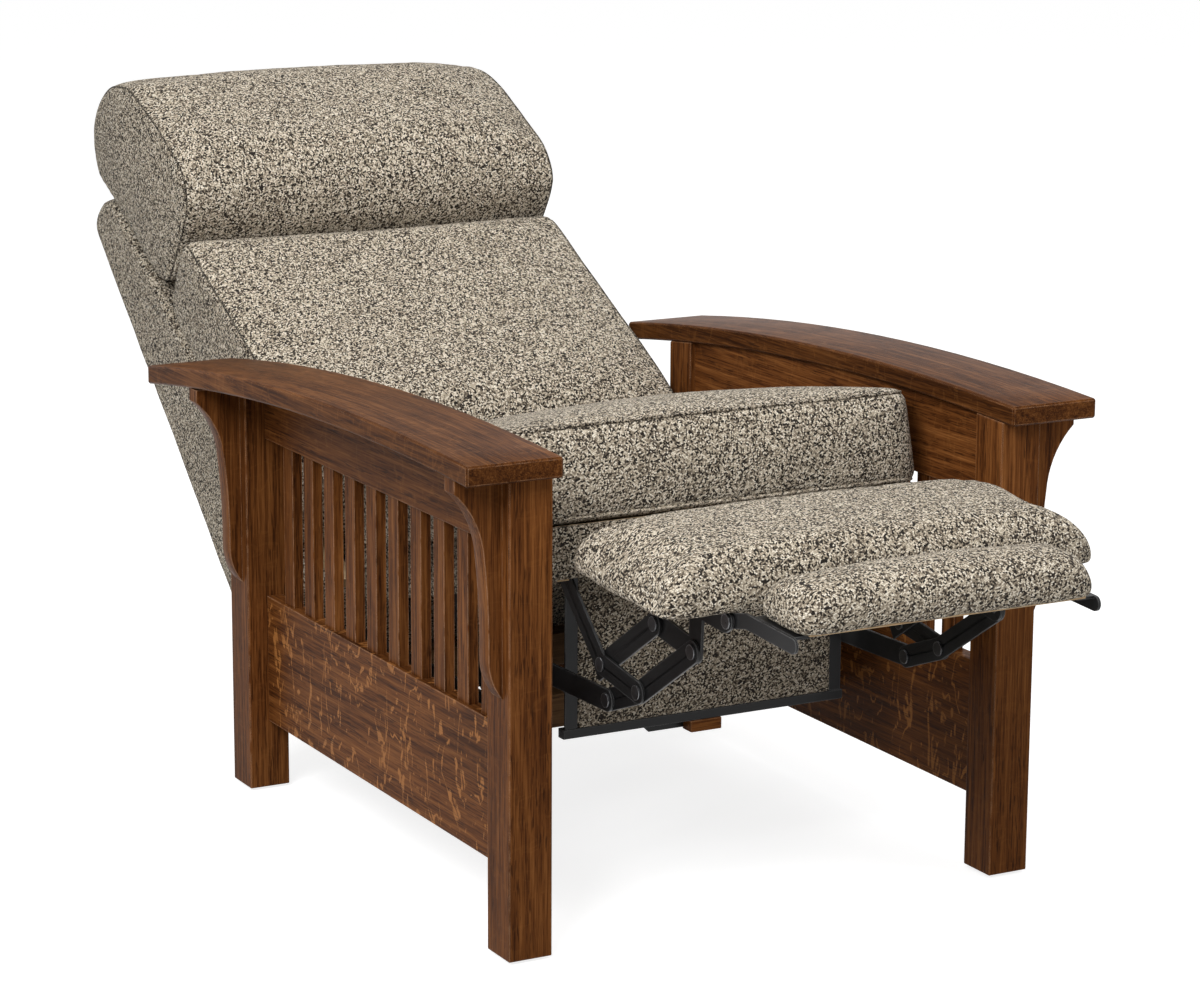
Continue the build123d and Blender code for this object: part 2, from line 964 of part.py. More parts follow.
def in_pad(point):
    # A point of the seat's side view in the pad's own directions.
    y, z = in_room(seat_plane, point)
    local = pad_plane.to_local_coords(Vector(0, y, z))
    return (local.X, local.Y)


def pad_board():
    outline = rectangle(pad_board_rear, pad_board_front, pad_board_low, 0)
    reach = seat_half_width - pad_board_inset
    return across(pad_plane, outline, -reach, reach)


def pad_brackets():
    # A hanger plate on each side of the board, with a foot screwed under it.
    middle = -pad_bracket_drop
    lower = in_pad(lower_link_tip)
    upper = in_pad(upper_link_tip)
    outline = bar((pad_bracket_rear, middle), (pad_bracket_front, middle), pad_bracket_width)
    outline += bar(flipper_pivot, (pad_bracket_front, middle), pad_bracket_width)
    outline += bar(upper, lower, link_width)
    outline += bar((upper[0], middle), upper, link_width)
    outline += bar((lower[0], middle), lower, link_width)
    outline = outline & rectangle(0, pad_length, -pad_length, pad_board_low)
    for point in (lower, upper, flipper_pivot):
        outline -= hole(point, running_clearance)
    plate = across(pad_plane, outline, layer_inner(2), layer_outer(2))
    foot = across(
        pad_plane,
        rectangle(pad_bracket_rear, pad_board_front, pad_bracket_low, pad_board_low),
        layer_inner(2) - pad_bracket_flange,
        layer_inner(2),
    )
    return pair(plate + foot)


def pad_pins():
    upper = in_pad(upper_link_tip)
    pieces = pair(pin(pad_plane, upper, layer_inner(2), layer_outer(1)))
    return pieces + pair(pin(pad_plane, flipper_pivot, layer_inner(3), layer_outer(2)))


def flipper_brackets():
    # Long brackets from the flipper's hinge to its board, with a foot under the board.
    knee = flipper_bracket_knee
    front = (flipper_bracket_front, knee[1])
    outline = bar(flipper_pivot, knee, flipper_bracket_width)
    outline += bar(knee, front, flipper_bracket_width)
    outline = outline & rectangle(
        0, flipper_rear + flipper_length, -pad_length, flipper_board_low
    )
    outline -= hole(flipper_pivot, running_clearance)
    plate = across(pad_plane, outline, layer_inner(3), layer_outer(3))
    rear = flipper_rear + flipper_board_inset
    foot = across(
        pad_plane,
        rectangle(rear, flipper_bracket_front, flange_low, flipper_board_low),
        layer_inner(3) - pad_bracket_flange,
        layer_inner(3),
    )
    return pair(plate + foot)


def flipper_board():
    outline = rectangle(
        flipper_rear + flipper_board_inset,
        flipper_rear + flipper_length - flipper_board_inset,
        flipper_board_low,
        flipper_low,
    )
    reach = flipper_half_width - flipper_board_side_inset
    return across(pad_plane, outline, -reach, reach)


def model():
    # Every piece of the chair by the name that a person would use for it.
    pieces = {}
    for name, side in (("left", -1), ("right", 1)):
        pieces["front_post_" + name] = post(side, -1)
        pieces["rear_post_" + name] = post(side, 1)
        pieces["arm_" + name] = arm(side)
        pieces["lower_rail_" + name] = lower_rail(side)
        pieces["upper_rail_" + name] = upper_rail(side)
        row = slats()
        pieces["slats_" + name] = row if side > 0 else [mirrored(slat) for slat in row]
        pieces["base_rail_" + name] = base_rail(side)
        pieces["seat_rail_" + name] = seat_rail(side)
        pieces["seat_plate_" + name] = seat_plate(side)
        pieces["back_upright_" + name] = upright(side)
        pieces["drive_link_" + name] = drive_link(side)
    pieces["corbels"] = corbels()
    pieces["rear_rail"] = rear_rail()
    pieces["glides"] = glides()
    pieces["stretchers"] = stretchers()
    pieces["base_pins"] = base_pins()
    pieces["rear_swing_links"] = swing_link(rear_swing_foot, rear_swing_head, running_clearance)
    pieces["front_swing_links"] = swing_link(
        front_swing_foot, front_swing_head, swing_pivot_clearance
    )
    pieces["seat_front_rail"] = seat_front_rail()
    pieces["seat_rear_rail"] = seat_rear_rail()
    pieces["seat_springs"] = seat_springs()
    pieces["seat_cushion"] = seat_cushion()
    pieces["seat_pins"] = seat_pins()
    pieces["kick_panel"] = kick_panel()
    pieces["kick_bar"] = kick_bar()
    pieces["kick_block"] = kick_block()
    pieces["kick_hangers"] = kick_hangers()
    pieces["back_shell"] = back_shell()
    pieces["back_top_rail"] = cross_rail(upright_top - cross_rail_height)
    pieces["back_low_rail"] = cross_rail(lower_cross_rail_low)
    pieces["back_hinge_plates"] = back_hinge_plates()
    pieces["lower_back_cushion"] = lower_back_cushion()
    pieces["head_pillow"] = head_pillow()
    pieces["torque_tube"] = torque_tube()
    pieces["drive_pins"] = drive_pins()
    pieces["cranks"] = cranks()
    pieces["crank_pins"] = crank_pins()
    pieces["lower_links"] = lower_links()
    pieces["lower_link_pins"] = lower_link_pins()
    pieces["upper_links"] = upper_links()
    pieces["footrest_pad"] = main_pad()
    pieces["footrest_board"] = pad_board()
    pieces["pad_brackets"] = pad_brackets()
    pieces["pad_pins"] = pad_pins()
    pieces["flipper_pad"] = flipper_pad()
    pieces["flipper_board"] = flipper_board()
    pieces["flipper_brackets"] = flipper_brackets()
    return pieces


os.makedirs("parts", exist_ok=True)
for name, piece in model().items():
    solids = []
    for item in (piece if isinstance(piece, list) else [piece]):
        solids += item.solids()
    export_step(Compound(solids), "parts/" + name + ".step")
    print(name, len(solids))
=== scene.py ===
import math

import bmesh
import bpy
from mathutils import Matrix, Vector, noise
from mathutils.bvhtree import BVHTree
from mathutils.kdtree import KDTree


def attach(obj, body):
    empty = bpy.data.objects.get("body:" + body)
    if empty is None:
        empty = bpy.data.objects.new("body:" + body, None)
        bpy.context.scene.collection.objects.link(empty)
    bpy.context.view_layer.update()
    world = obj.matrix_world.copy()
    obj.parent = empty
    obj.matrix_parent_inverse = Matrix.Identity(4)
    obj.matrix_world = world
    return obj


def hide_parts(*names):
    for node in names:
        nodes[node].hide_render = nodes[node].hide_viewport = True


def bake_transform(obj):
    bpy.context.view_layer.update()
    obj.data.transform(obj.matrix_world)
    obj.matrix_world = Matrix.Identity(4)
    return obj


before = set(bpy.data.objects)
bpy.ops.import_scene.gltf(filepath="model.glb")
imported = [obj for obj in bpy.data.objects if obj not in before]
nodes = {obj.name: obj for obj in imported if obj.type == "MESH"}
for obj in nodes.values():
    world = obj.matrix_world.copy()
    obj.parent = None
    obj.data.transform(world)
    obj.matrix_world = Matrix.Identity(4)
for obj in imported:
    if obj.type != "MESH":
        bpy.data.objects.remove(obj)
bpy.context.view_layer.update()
scene = bpy.context.scene
mm = 0.001
print("frame loaded:", len(nodes), "nodes")


# Places on the chair, in millimetres: the seat, the back and the footrest have their own slopes
def slopedPlace(y, z, degrees, facing=1):
    along = (math.cos(math.radians(degrees)), math.sin(math.radians(degrees)))
    up = (-facing * along[1], facing * along[0])

    def place(x, a, b):
        return Vector((x, y + a * along[0] + b * up[0], z + a * along[1] + b * up[1])) * mm
    return place


seatPlace = slopedPlace(-283, 491, -15)
backPlace = slopedPlace(345, 300, 32)
padPlace = slopedPlace(-404.6, 485.3, 182.8, facing=-1)


# Node trees
def addNode(tree, kind, inputs=None, **settings):
    node = tree.nodes.new(kind)
    for key, value in settings.items():
        setattr(node, key, value)
    for key, value in (inputs or {}).items():
        if isinstance(value, bpy.types.NodeSocket):
            tree.links.new(value, node.inputs[key])
        else:
            node.inputs[key].default_value = value
    return node


def startGroup(name, inputs, outputs):
    tree = bpy.data.node_groups.new(name, "ShaderNodeTree")
    for label, kind, value in inputs:
        socket = tree.interface.new_socket(label, in_out="INPUT", socket_type=kind)
        if value is not None:
            socket.default_value = value
    for label, kind in outputs:
        tree.interface.new_socket(label, in_out="OUTPUT", socket_type=kind)
    return tree, tree.nodes.new("NodeGroupInput"), tree.nodes.new("NodeGroupOutput")


def mathNode(tree, operation, a, b=0.0, clamp=False):
    return addNode(tree, "ShaderNodeMath", {0: a, 1: b}, operation=operation, use_clamp=clamp).outputs[0]


def rampNode(tree, value, stops, interpolation="LINEAR"):
    node = addNode(tree, "ShaderNodeValToRGB", {0: value})
    ramp = node.color_ramp
    ramp.interpolation = interpolation
    while len(ramp.elements) < len(stops):
        ramp.elements.new(1)
    for element, (position, color) in zip(ramp.elements, stops):
        element.position = position
        element.color = color if len(color) == 4 else (*color, 1)
    return node.outputs[0]


def stretched(tree, vector, scale):
    return addNode(tree, "ShaderNodeVectorMath", {0: vector, 1: scale}, operation="MULTIPLY").outputs[0]


def noiseNode(tree, vector, scale, detail=2.0, rough=0.5, distortion=0.0):
    return addNode(tree, "ShaderNodeTexNoise", {
        "Vector": vector, "Scale": scale, "Detail": detail, "Roughness": rough,
        "Distortion": distortion,
    }).outputs[0]


def mixColor(tree, factor, a, b, blend="MIX"):
    node = addNode(tree, "ShaderNodeMix", data_type="RGBA", blend_type=blend)
    for key, value in ((0, factor), (6, a), (7, b)):
        if isinstance(value, bpy.types.NodeSocket):
            tree.links.new(value, node.inputs[key])
        else:
            node.inputs[key].default_value = value if key == 0 or len(value) == 4 else (*value, 1)
    return node.outputs[2]


def makeWoodFigure():
    # Grain along the vector's Z: growth rings, open pores, and rays that cross the grain
    tree, source, sink = startGroup(
        "woodFigure",
        [("Vector", "NodeSocketVector", None), ("Rings", "NodeSocketFloat", 9.0)],
        [("Tone", "NodeSocketFloat"), ("Pores", "NodeSocketFloat"), ("Rays", "NodeSocketFloat"),
         ("Broad", "NodeSocketFloat")],
    )
    vector = source.outputs["Vector"]
    slow = noiseNode(tree, stretched(tree, vector, (1, 1, 0.1)), 12.0, 1.0, 0.4, 0.2)
    rings = mathNode(tree, "PINGPONG", mathNode(tree, "MULTIPLY", slow, source.outputs["Rings"]), 0.5)
    rings = mathNode(tree, "MULTIPLY", rings, 2.0)
    coarse = noiseNode(tree, stretched(tree, vector, (1, 1, 0.02)), 230.0, 2.0, 0.5)
    fine = noiseNode(tree, stretched(tree, vector, (1, 1, 0.025)), 560.0, 3.0, 0.6)
    fibre = mathNode(tree, "ADD", mathNode(tree, "MULTIPLY", coarse, 0.5),
                     mathNode(tree, "MULTIPLY", fine, 0.5))
    tone = mathNode(tree, "ADD", mathNode(tree, "MULTIPLY", rings, 0.09),
                    mathNode(tree, "MULTIPLY", fibre, 0.91))
    tree.links.new(tone, sink.inputs["Tone"])
    poreNoise = noiseNode(tree, stretched(tree, vector, (1, 1, 0.06)), 620.0, 1.0, 0.5)
    pores = addNode(tree, "ShaderNodeMapRange", {0: poreNoise, 1: 0.56, 2: 0.64}).outputs[0]
    ringShare = mathNode(tree, "SUBTRACT", 1.25, rings, clamp=True)
    tree.links.new(mathNode(tree, "MULTIPLY", pores, ringShare), sink.inputs["Pores"])
    # Rays show as thin wavy bands, broken into flakes
    rayNoise = noiseNode(tree, stretched(tree, vector, (0.75, 0.75, 2.0)), 14.0, 2.0, 0.5, 0.7)
    offCenter = mathNode(tree, "ABSOLUTE", mathNode(tree, "SUBTRACT", rayNoise, 0.5))
    band = addNode(tree, "ShaderNodeMapRange", {0: offCenter, 1: 0.021, 2: 0.011}).outputs[0]
    flakes = noiseNode(tree, vector, 40.0, 2.0)
    flakes = addNode(tree, "ShaderNodeMapRange", {0: flakes, 1: 0.47, 2: 0.53}).outputs[0]
    dots = noiseNode(tree, stretched(tree, vector, (0.7, 0.7, 1.6)), 62.0, 1.0, 0.5, 0.6)
    dots = addNode(tree, "ShaderNodeMapRange", {0: dots, 1: 0.66, 2: 0.69}).outputs[0]
    rays = mathNode(tree, "MAXIMUM", mathNode(tree, "MULTIPLY", band, flakes), dots)
    tree.links.new(rays, sink.inputs["Rays"])
    broad = noiseNode(tree, stretched(tree, vector, (1, 1, 0.25)), 5.0, 1.0)
    tree.links.new(broad, sink.inputs["Broad"])
    return tree


def makeEdgeWearAndHighlight():
    # 1 on an edge that hands and rubbing have reached, 0 on open faces; the lighter colour laid there is part
    # wear, part a painted highlight along the eased edge
    tree, source, sink = startGroup(
        "edgeWearAndHighlight",
        [("Vector", "NodeSocketVector", None), ("Amount", "NodeSocketFloat", 1.0)],
        [("WearAndHighlight", "NodeSocketFloat")],
    )
    soft = addNode(tree, "ShaderNodeBevel", {"Radius": 0.0022}, samples=6)
    flat = addNode(tree, "ShaderNodeNewGeometry")
    facing = addNode(
        tree, "ShaderNodeVectorMath", {0: soft.outputs[0], 1: flat.outputs["True Normal"]},
        operation="DOT_PRODUCT",
    ).outputs["Value"]
    edge = addNode(tree, "ShaderNodeMapRange", {0: facing, 1: 0.985, 2: 0.92}).outputs[0]
    patch = noiseNode(tree, source.outputs["Vector"], 60.0, 3.0)
    patch = addNode(tree, "ShaderNodeMapRange", {0: patch, 1: 0.3, 2: 0.55}).outputs[0]
    wearAndHighlightMask = mathNode(tree, "MULTIPLY", mathNode(tree, "MULTIPLY", edge, patch), source.outputs["Amount"])
    tree.links.new(wearAndHighlightMask, sink.inputs["WearAndHighlight"])
    return tree


def makeTweedWeave():
    # Threads that cross in a slanting weave: each float has its own shade, some are nearly black
    tree, source, sink = startGroup(
        "tweedWeave",
        [("Vector", "NodeSocketVector", None), ("Facing", "NodeSocketVector", None),
         ("Thread", "NodeSocketFloat", 0.0018), ("Dark Share", "NodeSocketFloat", 0.2)],
        [("Color", "NodeSocketColor"), ("Height", "NodeSocketFloat")],
    )
    vector = source.outputs["Vector"]
    wander = addNode(tree, "ShaderNodeTexNoise", {"Vector": vector, "Scale": 70.0, "Detail": 2.0})
    shift = stretched(tree, wander.outputs["Color"], (0.007,) * 3)
    moved = addNode(tree, "ShaderNodeVectorMath", {0: vector, 1: shift}, operation="ADD").outputs[0]
    # The cloth is laid on each side of a cushion from the direction that side faces most
    size = addNode(tree, "ShaderNodeVectorMath", {0: source.outputs["Facing"]}, operation="ABSOLUTE")
    size = addNode(tree, "ShaderNodeSeparateXYZ", {0: size.outputs[0]}).outputs
    sideways = mathNode(tree, "GREATER_THAN", size[0], mathNode(tree, "MAXIMUM", size[1], size[2]))
    upright = mathNode(tree, "MAXIMUM", sideways, mathNode(tree, "GREATER_THAN", size[1], size[2]))
    spot = addNode(tree, "ShaderNodeSeparateXYZ", {0: moved}).outputs
    a = addNode(tree, "ShaderNodeMix", {0: sideways, 2: spot[0], 3: spot[1]}, data_type="FLOAT").outputs[0]
    b = addNode(tree, "ShaderNodeMix", {0: upright, 2: spot[1], 3: spot[2]}, data_type="FLOAT").outputs[0]
    across = mathNode(tree, "ADD", a, mathNode(tree, "MULTIPLY", b, 0.35))
    along = mathNode(tree, "SUBTRACT", b, mathNode(tree, "MULTIPLY", a, 0.35))
    v = mathNode(tree, "DIVIDE", along, source.outputs["Thread"])
    row = mathNode(tree, "FLOOR", v)
    u = mathNode(tree, "DIVIDE", mathNode(tree, "MULTIPLY", across, 0.8), source.outputs["Thread"])
    u = mathNode(tree, "ADD", u, mathNode(tree, "MULTIPLY", row, 0.37))
    place = addNode(tree, "ShaderNodeCombineXYZ", {0: mathNode(tree, "FLOOR", u), 1: row})
    chance = addNode(tree, "ShaderNodeTexWhiteNoise", {"Vector": place.outputs[0]}).outputs[0]
    dark = mathNode(tree, "LESS_THAN", chance, source.outputs["Dark Share"])
    rest = addNode(tree, "ShaderNodeMapRange", {0: chance, 1: source.outputs["Dark Share"]}).outputs[0]
    light = rampNode(tree, rest, [
        (0.0, (0.115, 0.090, 0.066)), (0.17, (0.27, 0.222, 0.163)), (0.38, (0.47, 0.402, 0.305)),
        (0.68, (0.70, 0.618, 0.49)), (0.9, (0.83, 0.755, 0.63)),
    ], "CONSTANT")
    fleck = addNode(tree, "ShaderNodeTexVoronoi", {"Vector": moved, "Scale": 290.0})
    fleckChance = addNode(tree, "ShaderNodeSeparateColor", {0: fleck.outputs["Color"]}).outputs[1]
    gather = noiseNode(tree, vector, 24.0, 2.0)
    flecked = mathNode(tree, "LESS_THAN", fleckChance, mathNode(tree, "MULTIPLY", gather, 0.24))
    speck = mathNode(tree, "LESS_THAN", fleck.outputs["Distance"], 0.5)
    dark = mathNode(tree, "MAXIMUM", dark, mathNode(tree, "MULTIPLY", flecked, speck))
    color = mixColor(tree, dark, light, (0.020, 0.0155, 0.012))
    # Painted shade: the hollows between threads are darkened by the threads' bulge
    overU = mathNode(tree, "SINE", mathNode(tree, "MULTIPLY", mathNode(tree, "FRACT", u), math.pi))
    overV = mathNode(tree, "SINE", mathNode(tree, "MULTIPLY", mathNode(tree, "FRACT", v), math.pi))
    height = mathNode(tree, "POWER", mathNode(tree, "MULTIPLY", overU, overV), 0.5)
    shade = addNode(tree, "ShaderNodeMapRange", {0: height, 3: 0.42, 4: 1.08}).outputs[0]
    shades = addNode(tree, "ShaderNodeCombineColor", {0: shade, 1: shade, 2: shade}).outputs[0]
    tree.links.new(mixColor(tree, 1.0, color, shades, "MULTIPLY"), sink.inputs["Color"])
    tree.links.new(height, sink.inputs["Height"])
    return tree


def makeRubbedMetal():
    # Fine scratches and a cloudy change of gloss for painted and bare metal
    tree, source, sink = startGroup(
        "rubbedMetal",
        [("Vector", "NodeSocketVector", None)],
        [("Cloud", "NodeSocketFloat"), ("Scratch", "NodeSocketFloat")],
    )
    vector = source.outputs["Vector"]
    tree.links.new(noiseNode(tree, vector, 35.0, 4.0, 0.6), sink.inputs["Cloud"])
    fine = noiseNode(tree, stretched(tree, vector, (1, 0.06, 1)), 900.0, 2.0)
    tree.links.new(addNode(tree, "ShaderNodeMapRange", {0: fine, 1: 0.6, 2: 0.72}).outputs[0],
                   sink.inputs["Scratch"])
    return tree


woodFigure = makeWoodFigure()
edgeWearAndHighlight = makeEdgeWearAndHighlight()
tweedWeave = makeTweedWeave()
rubbedMetal = makeRubbedMetal()


def startMaterial(name):
    material = bpy.data.materials.new(name)
    material.use_nodes = True
    tree = material.node_tree
    shader = tree.nodes["Principled BSDF"]
    coords = addNode(tree, "ShaderNodeTexCoord").outputs["Object"]
    return material, tree, shader, coords


def useGroup(tree, group, **inputs):
    node = tree.nodes.new("ShaderNodeGroup")
    node.node_tree = group
    for key, value in inputs.items():
        label = key.replace("_", " ")
        if isinstance(value, bpy.types.NodeSocket):
            tree.links.new(value, node.inputs[label])
        else:
            node.inputs[label].default_value = value
    return node


oakLook = {
    "shades": [(0.34, (0.046, 0.0142, 0.0040)), (0.45, (0.102, 0.0330, 0.0086)),
               (0.54, (0.162, 0.0560, 0.0145)), (0.66, (0.248, 0.0950, 0.0270))],
    "ray": (0.36, 0.145, 0.040), "pore": (0.022, 0.0070, 0.0026), "wearAndHighlight": (0.46, 0.26, 0.15),
    "specular": 0.03,
}
# The arms are drawn darker than the rest of the frame
armLook = dict(oakLook, shades=[(0.34, (0.029, 0.0088, 0.0025)), (0.45, (0.063, 0.0205, 0.0053)),
                                (0.54, (0.100, 0.0347, 0.0090)), (0.66, (0.154, 0.0589, 0.0167))])
softwoodLook = {
    "shades": [(0.2, (0.36, 0.22, 0.11)), (0.5, (0.52, 0.36, 0.2)), (0.8, (0.64, 0.48, 0.29))],
    "ray": (0.6, 0.45, 0.27), "pore": (0.3, 0.18, 0.09), "wearAndHighlight": (0.66, 0.5, 0.32),
    "specular": 0.1,
}
# Softwood drawn in a dark brown, near the frame's oak
darkSoftwoodLook = {
    "shades": [(0.2, (0.075, 0.036, 0.015)), (0.5, (0.13, 0.068, 0.029)), (0.8, (0.19, 0.107, 0.05))],
    "ray": (0.2, 0.115, 0.055), "pore": (0.05, 0.024, 0.01), "wearAndHighlight": (0.3, 0.2, 0.12),
    "specular": 0.05,
}


def makeWood(name, look, grain, rays):
    material, tree, shader, coords = startMaterial(name)
    turn = {"x": (0, math.pi / 2, 0), "y": (math.pi / 2, 0, 0), "z": (0, 0, 0)}[grain]
    place = addNode(tree, "ShaderNodeMapping", {"Vector": coords, "Rotation": turn})
    figure = useGroup(tree, woodFigure, Vector=place.outputs[0], Rings=9.0)
    wearAndHighlightMask = useGroup(tree, edgeWearAndHighlight, Vector=coords, Amount=0.75)
    color = rampNode(tree, figure.outputs["Tone"], look["shades"])
    broad = addNode(tree, "ShaderNodeMapRange",
                    {0: figure.outputs["Broad"], 1: 0.3, 2: 0.7, 3: 0.72, 4: 1.25})
    tint = addNode(tree, "ShaderNodeCombineColor", {channel: broad.outputs[0] for channel in range(3)})
    color = mixColor(tree, 1.0, color, tint.outputs[0], "MULTIPLY")
    rayMask = mathNode(tree, "MULTIPLY", figure.outputs["Rays"], rays)
    color = mixColor(tree, rayMask, color, look["ray"])
    color = mixColor(tree, mathNode(tree, "MULTIPLY", figure.outputs["Pores"], 0.75), color, look["pore"])
    # Eased edges lightened: part wear, part painted highlight
    color = mixColor(tree, wearAndHighlightMask.outputs["WearAndHighlight"], color, look["wearAndHighlight"])
    tree.links.new(color, shader.inputs["Base Color"])
    gloss = mathNode(tree, "ADD", mathNode(tree, "MULTIPLY", figure.outputs["Tone"], -0.12), 0.47)
    gloss = mathNode(tree, "SUBTRACT", gloss, mathNode(tree, "MULTIPLY", rayMask, 0.1))
    tree.links.new(gloss, shader.inputs["Roughness"])
    height = mathNode(tree, "SUBTRACT", mathNode(tree, "MULTIPLY", figure.outputs["Tone"], 0.3),
                      figure.outputs["Pores"])
    bump = addNode(tree, "ShaderNodeBump", {"Strength": 0.25, "Distance": 0.0004, "Height": height})
    tree.links.new(bump.outputs[0], shader.inputs["Normal"])
    shader.inputs["Specular IOR Level"].default_value = look["specular"]
    return material


def makeTweed(name, darkShare=0.2, tint=(1.0, 1.0, 1.0), thread=0.0018):
    material, tree, shader, coords = startMaterial(name)
    facing = addNode(tree, "ShaderNodeTexCoord").outputs["Normal"]
    weave = useGroup(tree, tweedWeave, Vector=coords, Facing=facing, Thread=thread, Dark_Share=darkShare)
    color = mixColor(tree, 1.0, weave.outputs["Color"], tint, "MULTIPLY")
    tree.links.new(color, shader.inputs["Base Color"])
    bump = addNode(tree, "ShaderNodeBump", {"Strength": 0.4, "Distance": 0.0008,
                                            "Height": weave.outputs["Height"]})
    tree.links.new(bump.outputs[0], shader.inputs["Normal"])
    rough = addNode(tree, "ShaderNodeMapRange", {0: weave.outputs["Height"], 3: 0.95, 4: 0.82})
    tree.links.new(rough.outputs[0], shader.inputs["Roughness"])
    shader.inputs["Specular IOR Level"].default_value = 0.12
    shader.inputs["Sheen Weight"].default_value = 0.04
    shader.inputs["Sheen Roughness"].default_value = 0.6
    return material


def makeMetal(name, dark, light, metallic, rough, specular=0.5):
    material, tree, shader, coords = startMaterial(name)
    rub = useGroup(tree, rubbedMetal, Vector=coords)
    wearAndHighlightMask = useGroup(tree, edgeWearAndHighlight, Vector=coords, Amount=0.55)
    color = mixColor(tree, rub.outputs["Cloud"], dark, light)
    # Edges lightened towards a pale grey: part wear, part painted glint
    color = mixColor(tree, wearAndHighlightMask.outputs["WearAndHighlight"], color, tuple(min(1.0, 4 * c + 0.12) for c in light))
    tree.links.new(color, shader.inputs["Base Color"])
    gloss = mathNode(tree, "ADD", mathNode(tree, "MULTIPLY", rub.outputs["Cloud"], 0.22), rough)
    gloss = mathNode(tree, "ADD", gloss, mathNode(tree, "MULTIPLY", rub.outputs["Scratch"], 0.08))
    tree.links.new(gloss, shader.inputs["Roughness"])
    bump = addNode(tree, "ShaderNodeBump", {"Strength": 0.12, "Distance": 0.0002,
                                            "Height": rub.outputs["Scratch"]})
    tree.links.new(bump.outputs[0], shader.inputs["Normal"])
    shader.inputs["Metallic"].default_value = metallic
    shader.inputs["Specular IOR Level"].default_value = specular
    return material


def makePlain(name, dark, light, rough, grainScale):
    # Nylon and deck cloth: a fine even texture in two near shades
    material, tree, shader, coords = startMaterial(name)
    speck = noiseNode(tree, coords, grainScale, 3.0, 0.6)
    tree.links.new(mixColor(tree, speck, dark, light), shader.inputs["Base Color"])
    bump = addNode(tree, "ShaderNodeBump", {"Strength": 0.3, "Distance": 0.0004, "Height": speck})
    tree.links.new(bump.outputs[0], shader.inputs["Normal"])
    shader.inputs["Roughness"].default_value = rough
    return material


oakAcross = makeWood("oakAcross", oakLook, "x", 0.1)
oakAlong = makeWood("oakAlong", oakLook, "y", 0.12)
oakArm = makeWood("oakArm", armLook, "y", 0.1)
oakRayed = makeWood("oakRayed", oakLook, "y", 0.95)
oakUpright = makeWood("oakUpright", oakLook, "z", 0.06)
softwoodAcross = makeWood("softwoodAcross", softwoodLook, "x", 0.1)
softwoodAlong = makeWood("softwoodAlong", softwoodLook, "y", 0.1)
darkSoftwoodAcross = makeWood("darkSoftwoodAcross", darkSoftwoodLook, "x", 0.0)
tweed = makeTweed("tweed")
tweedLight = makeTweed("tweedLight", 0.12, (1.06, 1.05, 1.04), 0.0015)
tweedShaded = makeTweed("tweedShaded", 0.27, (0.8, 0.79, 0.78))
blackSteel = makeMetal("blackSteel", (0.006, 0.006, 0.0065), (0.009, 0.0088, 0.009), 0.0, 0.25, 0.2)
rivetSteel = makeMetal("rivetSteel", (0.035, 0.035, 0.037), (0.1, 0.1, 0.105), 0.9, 0.2)
springSteel = makeMetal("springSteel", (0.16, 0.15, 0.14), (0.3, 0.29, 0.27), 1.0, 0.3)
nylon = makePlain("nylon", (0.02, 0.018, 0.016), (0.04, 0.036, 0.033), 0.5, 300.0)
deckCloth = makePlain("deckCloth", (0.010, 0.0095, 0.009), (0.03, 0.028, 0.027), 0.9, 900.0)
# Dark cloth for the side seams' welts: painted shade, the thin shadow line along each pinched seam
tweedSeamShadow = makeTweed("tweedSeamShadow", 0.5, (0.5, 0.49, 0.48), 0.0015)
print("materials made")


# Dress the nodes that keep their own shape
dressing = [
    (oakArm, 1.2, ["arm_left", "arm_right"]),
    (oakAlong, 1.2, ["upper_rail_left", "upper_rail_right"]),
    (oakRayed, 1.6, ["lower_rail_left", "lower_rail_right"]),
    (oakUpright, 1.8, ["front_post_left", "front_post_right", "rear_post_left", "rear_post_right"]),
    (oakUpright, 1.3, ["slats_left", "slats_right", "corbels"]),
    (oakAcross, 1.5, ["rear_rail", "kick_block"]),
    (darkSoftwoodAcross, 1.0, ["stretchers"]),
    (softwoodAcross, 1.0, ["seat_front_rail", "seat_rear_rail", "back_top_rail",
                           "back_low_rail", "footrest_board", "flipper_board"]),
    (softwoodAlong, 1.0, ["seat_rail_left", "seat_rail_right", "back_upright_left", "back_upright_right"]),
    (blackSteel, 0.5, ["base_rail_left", "base_rail_right", "rear_swing_links", "front_swing_links",
                       "seat_plate_left", "seat_plate_right", "drive_link_left", "drive_link_right",
                       "torque_tube", "cranks", "lower_links", "upper_links", "pad_brackets",
                       "flipper_brackets", "kick_bar", "kick_hangers", "back_hinge_plates"]),
    (rivetSteel, 1.1, ["base_pins", "seat_pins", "drive_pins", "crank_pins", "lower_link_pins",
                       "pad_pins"]),
    (springSteel, 0.0, ["seat_springs"]),
    (nylon, 0.8, ["glides"]),
]


# Corners closer than weld are one corner, and edges sharper than angle are eased
easing = {"weld": 0.02, "angle": 32}


def dressNode(node, material, ease):
    node.data.materials.clear()
    node.data.materials.append(material)
    if not ease:
        return
    weld = node.modifiers.new("weld", "WELD")
    weld.merge_threshold = easing["weld"] * mm
    bevel = node.modifiers.new("easedEdges", "BEVEL")
    bevel.width = ease * mm
    bevel.segments = 2
    bevel.limit_method = "ANGLE"
    bevel.angle_limit = math.radians(easing["angle"])
    bevel.use_clamp_overlap = True


for material, ease, names in dressing:
    for name in names:
        dressNode(nodes[name], material, ease)
print("nodes dressed")


